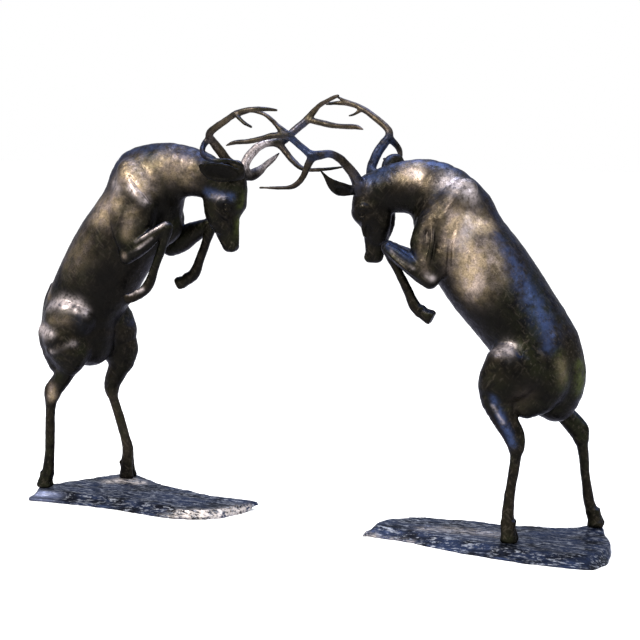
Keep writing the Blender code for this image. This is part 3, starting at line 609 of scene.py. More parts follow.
@dataclass
class Stag:
    """One stag, modelled stroke by stroke in its own frame and cast in one."""

    side: Side
    strokes: list[Stroke]
    dabs: list[Dab] = field(default_factory=list)
    stand: Spot = (0.0, 0.0, 0.0)
    cell: float = FINE_CELL
    triangles: int = 185000
    broad_marks: tuple[float, float] = (0.055, 0.0035)
    small_marks: tuple[float, float] = (0.016, 0.0014)
    far_tones: float = 0.5

    def placed(self, station: Station) -> Station:
        """A station of the stag's own frame in the group's frame."""
        ahead, across, above, radius = station
        x, y, z = self.stand
        return (x + self.side.value * ahead, y + across, z + above, radius)

    def model(self) -> Clay:
        """Works every stroke in turn.

        Returns:
            The finished clay.
        """
        low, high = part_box(f"{self.side.word}_stag")
        room = Vector((0.03, 0.03, 0.03))
        clay = Clay(tuple(low - room), tuple(high + room), self.cell)
        for stroke in self.strokes:
            thin = (stroke.thin[0] * self.side.value, stroke.thin[1], stroke.thin[2])
            path = smooth_path(tuple(self.placed(station) for station in stroke.stations))
            clay.work(stroke, path, thin)
        clay.level(self.stand[2])
        return clay

    def build(self) -> bpy.types.Object:
        """Takes the skin off the clay, marks it by hand and thins it.

        Returns:
            The stag, in place of its CAD node.
        """
        name = f"{self.side.word}_stag_cast"
        obj = bpy.data.objects.new(name, self.model().skin(name))
        bpy.context.scene.collection.objects.link(obj)
        quads = len(obj.data.polygons)
        hand_marks(obj, *self.broad_marks)
        hand_marks(obj, *self.small_marks)
        thin = obj.modifiers.new("thin", "DECIMATE")
        thin.ratio = min(1.0, self.triangles / (2 * quads))
        settle(obj)
        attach(obj, "root")
        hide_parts(f"{self.side.word}_stag")
        return obj

    def dress(self, obj: bpy.types.Object, bronze: bpy.types.Material) -> None:
        """Gives the stag its finish, with its painted highlights, reflections and shade on the near side
        and fainter ones on the far side.

        Args:
            obj: The stag.
            bronze: Its material.
        """
        dabs = []
        for one in self.dabs:
            near = tuple(self.placed(station) for station in one.stations)
            far = tuple(self.placed((ahead, abs(across), above, radius))
                        for ahead, across, above, radius in one.stations)
            dabs.append(Dab(one.tone, near, one.strength))
            dabs.append(Dab(one.tone, far, self.far_tones * one.strength))
        tint(obj, dabs)
        obj.data.materials.append(bronze)


def hoof(name: str, pastern: Spot, middle: Spot, tip: Spot, radius: float, raised: bool = False
         ) -> list[Stroke]:
    """A cloven hoof: two toes with a cleft between them, and the two small claws behind.

    Args:
        name: Which leg it is on.
        pastern: Where the leg runs into it.
        middle: The middle of the hoof.
        tip: The middle of its sole.
        radius: Half its depth from heel to toe.
        raised: Whether it is in the air. Its sole is then cut flat, so it is worked before what is near.

    Returns:
        Its strokes.
    """
    along = np.array((tip[0] - pastern[0], tip[2] - pastern[2]))
    along /= np.linalg.norm(along)
    front = (-along[1], along[0])
    strokes = []
    for side in (-1, 1):
        places = ((pastern, 0.3, 0.85), (middle, 0.4, 0.93), (tip, 0.46, 1.08))
        toe = [(x, y + side * share * radius, z, width * radius) for (x, y, z), share, width in places]
        strokes.append(add(f"{name} toe", *toe, across=0.62, blend=0.006))
        claw = (pastern[0] - front[0] * radius * 0.75, pastern[1] + side * 0.4 * radius,
                pastern[2] - front[1] * radius * 0.75)
        point = (claw[0] + along[0] * 0.4 * radius, claw[1], claw[2] + along[1] * 0.4 * radius)
        strokes.append(add(f"{name} claw", (*claw, 0.3 * radius), (*point, 0.2 * radius), blend=0.006))
    cleft = [(x + front[0] * radius * 1.02, y, z + front[1] * radius * 1.02, depth * radius)
             for (x, y, z), depth in ((pastern, 0.15), (middle, 0.35), (tip, 0.45))]
    strokes.append(cut(f"{name} cleft", *cleft, across=0.35, blend=0.004))
    if raised:
        past = SOLE_CUT + 0.45 * radius
        ball = (tip[0] + along[0] * past, tip[1], tip[2] + along[1] * past, SOLE_CUT)
        strokes.append(cut(f"{name} sole", ball, blend=0.003))
    return strokes


def ear(name: str, stations: tuple[Station, ...], opening: Spot) -> list[Stroke]:
    """A leaf-shaped ear, hollowed on the side that opens.

    Args:
        name: Which ear it is.
        stations: Its middle line and half widths, from the root to the tip.
        opening: The way its hollow faces.

    Returns:
        Its strokes.
    """
    way = np.array(opening) / np.linalg.norm(opening)
    hollow = [(x + way[0] * 0.015, y + way[1] * 0.015, z + way[2] * 0.015, radius - 0.011)
              for x, y, z, radius in stations[1:-1] if radius > 0.018]
    return [add(f"{name} ear", *stations, across=0.34, blend=0.008, thin=opening),
            cut(f"{name} ear hollow", *hollow, across=0.36, blend=0.005, thin=opening)]


def cheeks(*stations: Station) -> list[Stroke]:
    """Both cheeks, from the stations of the far one."""
    strokes = []
    for side in (-1, 1):
        own = [(ahead, side * across, above, radius) for ahead, across, above, radius in stations]
        strokes.append(add("cheek", *own, across=0.75, blend=0.02))
    return strokes


def face(eye: Spot, nose: tuple[float, float]) -> list[Stroke]:
    """Both eyes with their lids and brows, the cheekbones, the nose, the nostrils and the mouth.

    Args:
        eye: The middle of the far eye.
        nose: The middle of the muzzle's end, ahead and above.

    Returns:
        The strokes.
    """
    ahead, across, above = eye
    tip, low = nose
    strokes = [add("nose", (tip + 0.02, -0.012, low - 0.018, 0.022),
                   (tip + 0.02, 0.012, low - 0.018, 0.022), blend=0.01)]
    for side in (-1, 1):
        def at(forward: float, out: float, up: float, radius: float) -> Station:
            """A station counted from the eye."""
            return (ahead + forward, side * (across + out), above + up, radius)

        strokes += [
            add("brow", at(-0.05, -0.008, 0.022, 0.016), at(-0.01, 0.004, 0.034, 0.018),
                at(0.03, -0.008, 0.02, 0.013), blend=0.012),
            cut("eye socket", at(0.0, 0.016, -0.002, 0.02), at(0.008, 0.012, -0.006, 0.018),
                blend=0.014),
            add("eyeball", at(0.0, -0.004, 0.0, 0.0165), blend=0.001),
            add("upper lid", at(-0.02, 0.002, 0.004, 0.004), at(-0.004, 0.01, 0.015, 0.006),
                at(0.016, 0.002, 0.007, 0.005), blend=0.003),
            add("lower lid", at(-0.02, 0.002, 0.001, 0.004), at(-0.001, 0.009, -0.014, 0.005),
                at(0.017, 0.001, -0.005, 0.004), blend=0.003),
            cut("tear pit", at(0.026, -0.001, -0.018, 0.004), at(0.034, -0.013, -0.04, 0.003),
                blend=0.008),
            add("cheekbone", at(-0.055, -0.003, -0.01, 0.012), at(-0.02, -0.002, -0.034, 0.012),
                at(0.0, -0.015, -0.062, 0.009), at(0.0, -0.028, -0.1, 0.006), blend=0.022),
            cut("cheek hollow", at(-0.03, 0.012, -0.075, 0.01), at(-0.012, 0.004, -0.12, 0.009),
                blend=0.02),
            add("nostril rim", (tip + 0.026, side * 0.022, low + 0.002, 0.012),
                (tip + 0.03, side * 0.024, low - 0.014, 0.012), blend=0.008),
            cut("nostril", (tip + 0.033, side * 0.036, low - 0.001, 0.0055),
                (tip + 0.036, side * 0.034, low - 0.014, 0.007), blend=0.004),
            cut("mouth", (tip - 0.045, side * 0.042, low + 0.05, 0.003),
                (tip - 0.022, side * 0.041, low + 0.014, 0.004),
                (tip - 0.002, side * 0.03, low - 0.028, 0.0045), blend=0.005),
        ]
    return strokes


def left_strokes() -> list[Stroke]:
    """The strokes of the left stag, from its body to its ears."""
    return [
        # raised hooves
        *hoof("near fore", (0.388, -0.123, 1.029), (0.352, -0.122, 1.012),
            (0.328, -0.12, 1.008), 0.025, True),
        *hoof("far fore", (0.555, 0.1, 1.087), (0.53, 0.1, 1.072), (0.512, 0.1, 1.064), 0.03, True),
        # body
        add("torso", (-0.05, 0, 0.80, 0.132), (-0.03, 0, 0.9, 0.168), (0.065, 0, 1.06, 0.187),
            (0.18, 0, 1.23, 0.198), (0.3, 0, 1.385, 0.196), (0.39, 0, 1.5, 0.182), across=0.93),
        add("belly", (0.09, 0, 0.93, 0.105), (0.17, 0, 1.035, 0.12), (0.215, 0, 1.12, 0.124),
            (0.28, 0, 1.24, 0.126), (0.37, 0, 1.35, 0.13), across=0.95, blend=0.06),
        add("rump", (-0.07, 0, 0.9, 0.105), (-0.12, 0, 0.82, 0.105), (-0.12, 0, 0.745, 0.092),
            (-0.09, 0, 0.69, 0.08), across=0.95, blend=0.05),
        add("pelvis", (0.02, 0, 0.85, 0.16), (0.035, 0, 0.75, 0.127), blend=0.03),
        add("withers", (0.285, 0, 1.6, 0.088), (0.33, 0, 1.63, 0.108), (0.4, 0, 1.645, 0.114),
            (0.48, 0, 1.65, 0.11), across=0.8, blend=0.05),
        add("neck", (0.345, 0, 1.505, 0.165), (0.43, 0, 1.592, 0.146), (0.53, 0, 1.632, 0.133),
            (0.65, 0, 1.627, 0.116), (0.745, 0, 1.592, 0.1), (0.82, 0, 1.56, 0.09), across=0.76,
            blend=0.045),
        add("breast", (0.39, 0, 1.5, 0.145), (0.435, 0, 1.42, 0.11), (0.48, 0, 1.36, 0.086),
            across=0.85, blend=0.045),
        add("tail", (-0.165, 0, 1.03, 0.018), (-0.185, 0, 0.965, 0.026), (-0.203, 0, 0.895, 0.027),
            (-0.214, 0, 0.845, 0.018), (-0.212, 0, 0.815, 0.008), across=1.2, blend=0.022),
        # shoulder and near foreleg
        add("near shoulder blade", (0.33, -0.095, 1.64, 0.05), (0.37, -0.125, 1.57, 0.07),
            (0.41, -0.135, 1.5, 0.07), across=0.75, blend=0.04),
        add("near blade ridge", (0.352, -0.13, 1.63, 0.012), (0.385, -0.165, 1.575, 0.016),
            (0.42, -0.175, 1.515, 0.018), blend=0.02),
        add("near shoulder point", (0.425, -0.14, 1.5, 0.05), (0.44, -0.135, 1.47, 0.045), blend=0.03),
        add("near triceps", (0.335, -0.12, 1.5, 0.075), (0.325, -0.145, 1.41, 0.075),
            (0.34, -0.165, 1.31, 0.05), (0.355, -0.172, 1.24, 0.034), across=0.8, blend=0.03),
        add("near upper arm", (0.42, -0.125, 1.48, 0.075), (0.405, -0.15, 1.39, 0.07),
            (0.385, -0.165, 1.29, 0.05), across=0.8, blend=0.025),
        add("near elbow", (0.352, -0.18, 1.235, 0.026), (0.35, -0.176, 1.212, 0.024), blend=0.014),
        add("near forearm", (0.349, -0.165, 1.222, 0.0343), (0.391, -0.17, 1.251, 0.042),
            (0.439, -0.168, 1.287, 0.0429), (0.485, -0.16, 1.325, 0.0369),
            (0.524, -0.15, 1.354, 0.0306), (0.552, -0.142, 1.371, 0.0281), blend=0.016),
        add("near forearm cord", (0.395, -0.2, 1.285, 0.008), (0.45, -0.197, 1.318, 0.01),
            (0.505, -0.178, 1.355, 0.009), (0.548, -0.155, 1.385, 0.008), blend=0.01),
        add("near forearm back cord", (0.37, -0.198, 1.238, 0.008), (0.43, -0.206, 1.268, 0.009),
            (0.49, -0.19, 1.312, 0.009), (0.545, -0.165, 1.357, 0.008), blend=0.01),
        add("near cannon", (0.558, -0.142, 1.367, 0.0286), (0.553, -0.14, 1.342, 0.0257),
            (0.534, -0.137, 1.297, 0.0224), (0.515, -0.133, 1.247, 0.021),
            (0.493, -0.13, 1.196, 0.0206), (0.475, -0.128, 1.153, 0.0211),
            (0.457, -0.126, 1.11, 0.0236), (0.44, -0.125, 1.077, 0.0266),
            (0.414, -0.124, 1.048, 0.0247), (0.388, -0.123, 1.029, 0.0228), blend=0.01),
        # far foreleg
        add("far upper arm", (0.39, 0.12, 1.5, 0.09), (0.425, 0.14, 1.385, 0.09),
            (0.43, 0.15, 1.28, 0.065), across=0.75, blend=0.03),
        add("far forearm", (0.435, 0.155, 1.242, 0.0521), (0.488, 0.15, 1.268, 0.059),
            (0.549, 0.14, 1.308, 0.0552), (0.604, 0.13, 1.335, 0.0453), (0.647, 0.12, 1.355, 0.0351),
            (0.671, 0.115, 1.368, 0.031), across=0.9, blend=0.014),
        add("far cannon", (0.672, 0.115, 1.366, 0.031), (0.668, 0.115, 1.331, 0.0276),
            (0.653, 0.112, 1.285, 0.0231), (0.635, 0.11, 1.234, 0.0226), (0.615, 0.108, 1.183, 0.0227),
            (0.604, 0.106, 1.152, 0.0242), (0.594, 0.104, 1.127, 0.0273), (0.577, 0.102, 1.103, 0.0298),
            (0.555, 0.1, 1.087, 0.0283), blend=0.01),
        # near hind leg
        add("near hip", (-0.05, -0.118, 0.89, 0.092), (0.0, -0.125, 0.9, 0.1),
            (0.045, -0.122, 0.89, 0.092), across=0.86, blend=0.012),
        add("near thigh", (-0.03, -0.11, 0.86, 0.105), (-0.03, -0.125, 0.79, 0.125),
            (-0.015, -0.135, 0.72, 0.1), across=0.78, blend=0.03),
        add("near ham", (-0.1, -0.085, 0.87, 0.065), (-0.115, -0.1, 0.8, 0.08),
            (-0.1, -0.11, 0.72, 0.07), (-0.085, -0.12, 0.65, 0.05), across=0.85, blend=0.02),
        add("near gaskin", (0.026, -0.145, 0.72, 0.0785), (0.007, -0.145, 0.667, 0.0619),
            (-0.018, -0.14, 0.623, 0.0478), (-0.057, -0.135, 0.567, 0.0434),
            (-0.094, -0.13, 0.521, 0.041), (-0.115, -0.13, 0.486, 0.038), across=0.85, blend=0.03),
        add("near hock", (-0.074, -0.13, 0.596, 0.0174), (-0.116, -0.13, 0.546, 0.0195),
            (-0.138, -0.13, 0.51, 0.0221), (-0.135, -0.13, 0.476, 0.0206), blend=0.014),
        add("near hind cannon", (-0.115, -0.13, 0.486, 0.038), (-0.125, -0.13, 0.451, 0.0314),
            (-0.13, -0.13, 0.413, 0.0263), (-0.132, -0.132, 0.376, 0.0248),
            (-0.135, -0.135, 0.297, 0.0253), (-0.137, -0.14, 0.202, 0.0248),
            (-0.141, -0.142, 0.149, 0.0264), (-0.146, -0.143, 0.106, 0.0296),
            (-0.151, -0.145, 0.074, 0.0306), blend=0.012),
        *hoof("near hind", (-0.152, -0.146, 0.066), (-0.164, -0.149, 0.03),
            (-0.166, -0.15, 0.01), 0.0355),
        # far hind leg
        add("far hip", (-0.04, 0.115, 0.93, 0.07), (0.04, 0.12, 0.94, 0.07), across=0.85, blend=0.025),
        add("far thigh", (0.087, 0.11, 0.872, 0.122), (0.108, 0.13, 0.795, 0.126),
            (0.112, 0.14, 0.71, 0.1), across=0.75, blend=0.035),
        add("far ham", (-0.09, 0.09, 0.86, 0.075), (-0.06, 0.11, 0.77, 0.085), (0.0, 0.125, 0.69, 0.06),
            across=0.85, blend=0.025),
        add("far gaskin", (0.158, 0.145, 0.69, 0.074), (0.146, 0.145, 0.631, 0.0657),
            (0.13, 0.14, 0.598, 0.0573), (0.105, 0.14, 0.548, 0.0506), (0.087, 0.14, 0.504, 0.0433),
            (0.083, 0.14, 0.466, 0.0338), across=0.85, blend=0.03),
        add("far hock", (0.098, 0.14, 0.585, 0.018), (0.07, 0.14, 0.525, 0.02),
            (0.062, 0.14, 0.485, 0.021), (0.07, 0.14, 0.445, 0.019), blend=0.014),
        add("far hind cannon", (0.083, 0.14, 0.466, 0.0338), (0.088, 0.14, 0.433, 0.0264),
            (0.097, 0.14, 0.402, 0.0243), (0.116, 0.14, 0.338, 0.0254), (0.136, 0.14, 0.274, 0.0254),
            (0.154, 0.14, 0.21, 0.0255), (0.163, 0.14, 0.173, 0.0276), (0.167, 0.14, 0.135, 0.0308),
            (0.163, 0.14, 0.09, 0.0324), blend=0.012),
        *hoof("far hind", (0.163, 0.14, 0.08), (0.163, 0.14, 0.035), (0.163, 0.14, 0.012), 0.038),
        # creases between the muscles
        cut("near hip crease", (-0.135, -0.12, 0.975, 0.008), (-0.07, -0.165, 1.0, 0.01),
            (0.0, -0.18, 1.012, 0.011), (0.07, -0.176, 1.003, 0.01), (0.125, -0.17, 0.965, 0.009),
            (0.14, -0.165, 0.92, 0.006), blend=0.01),
        cut("near buttock crease", (-0.13, -0.165, 0.85, 0.004), (-0.08, -0.208, 0.845, 0.008),
            (-0.03, -0.225, 0.86, 0.004), blend=0.022),
        add("near ham ridge", (-0.09, -0.185, 0.725, 0.008), (-0.03, -0.212, 0.745, 0.01),
            (0.04, -0.195, 0.78, 0.008), blend=0.02),
        cut("near shoulder crease", (0.25, -0.165, 1.52, 0.006), (0.25, -0.19, 1.43, 0.009),
            (0.275, -0.195, 1.34, 0.009), (0.3, -0.185, 1.27, 0.007), blend=0.016),
        cut("near blade crease", (0.375, -0.165, 1.615, 0.004), (0.415, -0.18, 1.575, 0.006),
            (0.455, -0.178, 1.53, 0.006), (0.48, -0.165, 1.49, 0.004), blend=0.008),
        cut("near upper arm crease", (0.375, -0.205, 1.45, 0.004), (0.372, -0.222, 1.38, 0.007),
            (0.365, -0.214, 1.3, 0.005), blend=0.014),
        # head
        add("cranium", (0.842, 0, 1.6, 0.068), (0.834, 0, 1.545, 0.074), (0.825, 0, 1.49, 0.08),
            across=0.88, blend=0.03),
        add("forehead", (0.848, 0, 1.53, 0.058), (0.856, 0, 1.485, 0.054), across=1.15, blend=0.02),
        *cheeks((0.765, 0.03, 1.5, 0.062), (0.77, 0.034, 1.43, 0.055), (0.79, 0.03, 1.37, 0.04)),
        add("muzzle", (0.825, 0, 1.44, 0.055), (0.829, 0, 1.37, 0.046), (0.834, 0, 1.31, 0.04),
            (0.834, 0, 1.285, 0.038), across=0.82, blend=0.025),
        add("jaw", (0.785, 0, 1.42, 0.045), (0.79, 0, 1.35, 0.038), (0.81, 0, 1.295, 0.032),
            (0.818, 0, 1.27, 0.026), across=0.85, blend=0.014),
        *face((0.845, 0.066, 1.466), (0.823, 1.285)),
        # antlers and ears
        add("near burr", (0.889, -0.043, 1.655, 0.033), (0.886, -0.045, 1.662, 0.033), blend=0.01),
        add("near beam", (0.896, -0.04, 1.638, 0.028), (0.882, -0.045, 1.657, 0.0265),
            (0.859, -0.058, 1.679, 0.0245), (0.844, -0.075, 1.698, 0.0235),
            (0.832, -0.095, 1.727, 0.0225), (0.82, -0.12, 1.756, 0.0215), (0.81, -0.15, 1.783, 0.02),
            (0.808, -0.185, 1.81, 0.0185), (0.819, -0.2, 1.83, 0.0185), (0.849, -0.213, 1.85, 0.0168),
            (0.88, -0.225, 1.867, 0.0162), (0.909, -0.234, 1.883, 0.0158), (0.937, -0.242, 1.9, 0.0155),
            (0.972, -0.252, 1.916, 0.0155), (1.011, -0.262, 1.927, 0.0145),
            (1.047, -0.267, 1.935, 0.0128), (1.08, -0.263, 1.938, 0.0115),
            (1.112, -0.245, 1.938, 0.0098), (1.132, -0.22, 1.936, 0.0078),
            (1.149, -0.195, 1.933, 0.0055), blend=0.008),
        add("near drop tine", (0.975, -0.26, 1.914, 0.012), (1.003, -0.28, 1.894, 0.0095),
            (1.031, -0.29, 1.874, 0.008), (1.065, -0.3, 1.859, 0.0055), blend=0.01),
        add("near curl tine", (0.798, -0.175, 1.796, 0.016), (0.785, -0.19, 1.776, 0.0145),
            (0.787, -0.22, 1.753, 0.0135), (0.802, -0.25, 1.733, 0.0135),
            (0.835, -0.285, 1.717, 0.0128), (0.87, -0.3, 1.708, 0.012), (0.905, -0.302, 1.703, 0.0108),
            (0.937, -0.295, 1.705, 0.0095), (0.969, -0.275, 1.698, 0.008), (0.999, -0.24, 1.678, 0.006),
            blend=0.01),
        add("far burr", (0.881, 0.047, 1.63, 0.032), (0.881, 0.05, 1.638, 0.032), blend=0.01),
        add("far beam", (0.881, 0.045, 1.623, 0.028), (0.885, 0.05, 1.652, 0.025),
            (0.889, 0.06, 1.676, 0.0235), (0.899, 0.075, 1.702, 0.0225), (0.913, 0.09, 1.725, 0.0225),
            (0.929, 0.105, 1.746, 0.0215), (0.947, 0.12, 1.759, 0.02), (0.965, 0.14, 1.768, 0.0185),
            (0.991, 0.155, 1.77, 0.0185), (1.021, 0.165, 1.773, 0.0195), (1.05, 0.18, 1.787, 0.019),
            (1.073, 0.195, 1.811, 0.019), (1.095, 0.2, 1.832, 0.02), (1.119, 0.205, 1.853, 0.02),
            (1.143, 0.21, 1.872, 0.02), (1.164, 0.21, 1.894, 0.0185), (1.18, 0.208, 1.912, 0.016),
            (1.197, 0.205, 1.928, 0.0148), (1.214, 0.2, 1.945, 0.0128), (1.238, 0.19, 1.96, 0.0122),
            (1.262, 0.18, 1.971, 0.0112), (1.285, 0.172, 1.982, 0.01), (1.307, 0.166, 1.991, 0.0085),
            (1.329, 0.16, 1.998, 0.0062), blend=0.008),
        add("far low tine", (1.014, 0.17, 1.765, 0.017), (1.038, 0.168, 1.749, 0.0165),
            (1.06, 0.165, 1.725, 0.0163), (1.083, 0.16, 1.7, 0.016), (1.116, 0.14, 1.676, 0.0145),
            (1.147, 0.12, 1.658, 0.0128), (1.175, 0.107, 1.649, 0.0112), (1.21, 0.095, 1.646, 0.0095),
            (1.254, 0.085, 1.648, 0.0095), (1.299, 0.072, 1.652, 0.0082), (1.344, 0.058, 1.658, 0.0072),
            (1.388, 0.045, 1.665, 0.005), blend=0.01),
        add("far mid tine", (1.154, 0.21, 1.884, 0.015), (1.188, 0.2, 1.878, 0.0155),
            (1.242, 0.18, 1.868, 0.015), (1.288, 0.163, 1.86, 0.0145), (1.336, 0.14, 1.855, 0.0123),
            (1.383, 0.12, 1.853, 0.0128), (1.429, 0.1, 1.853, 0.0125), (1.457, 0.085, 1.85, 0.0108),
            (1.481, 0.07, 1.843, 0.006), blend=0.01),
        add("far ear", (0.881, 0.045, 1.613, 0.022), (0.901, 0.06, 1.615, 0.026),
            (0.914, 0.08, 1.617, 0.028), (0.927, 0.1, 1.625, 0.0265), (0.941, 0.118, 1.638, 0.022),
            (0.956, 0.135, 1.655, 0.0175), (0.971, 0.15, 1.672, 0.0155), (0.987, 0.165, 1.687, 0.0132),
            (1.002, 0.18, 1.704, 0.0093), (1.014, 0.19, 1.719, 0.0045), across=0.6, blend=0.01),
        *ear("near", ((0.905, -0.05, 1.619, 0.02), (0.88, -0.09, 1.628, 0.036),
            (0.843, -0.125, 1.637, 0.046), (0.805, -0.155, 1.646, 0.043), (0.78, -0.18, 1.66, 0.027),
            (0.764, -0.2, 1.672, 0.01)), (0.6, -0.75, -0.28)),
    ]


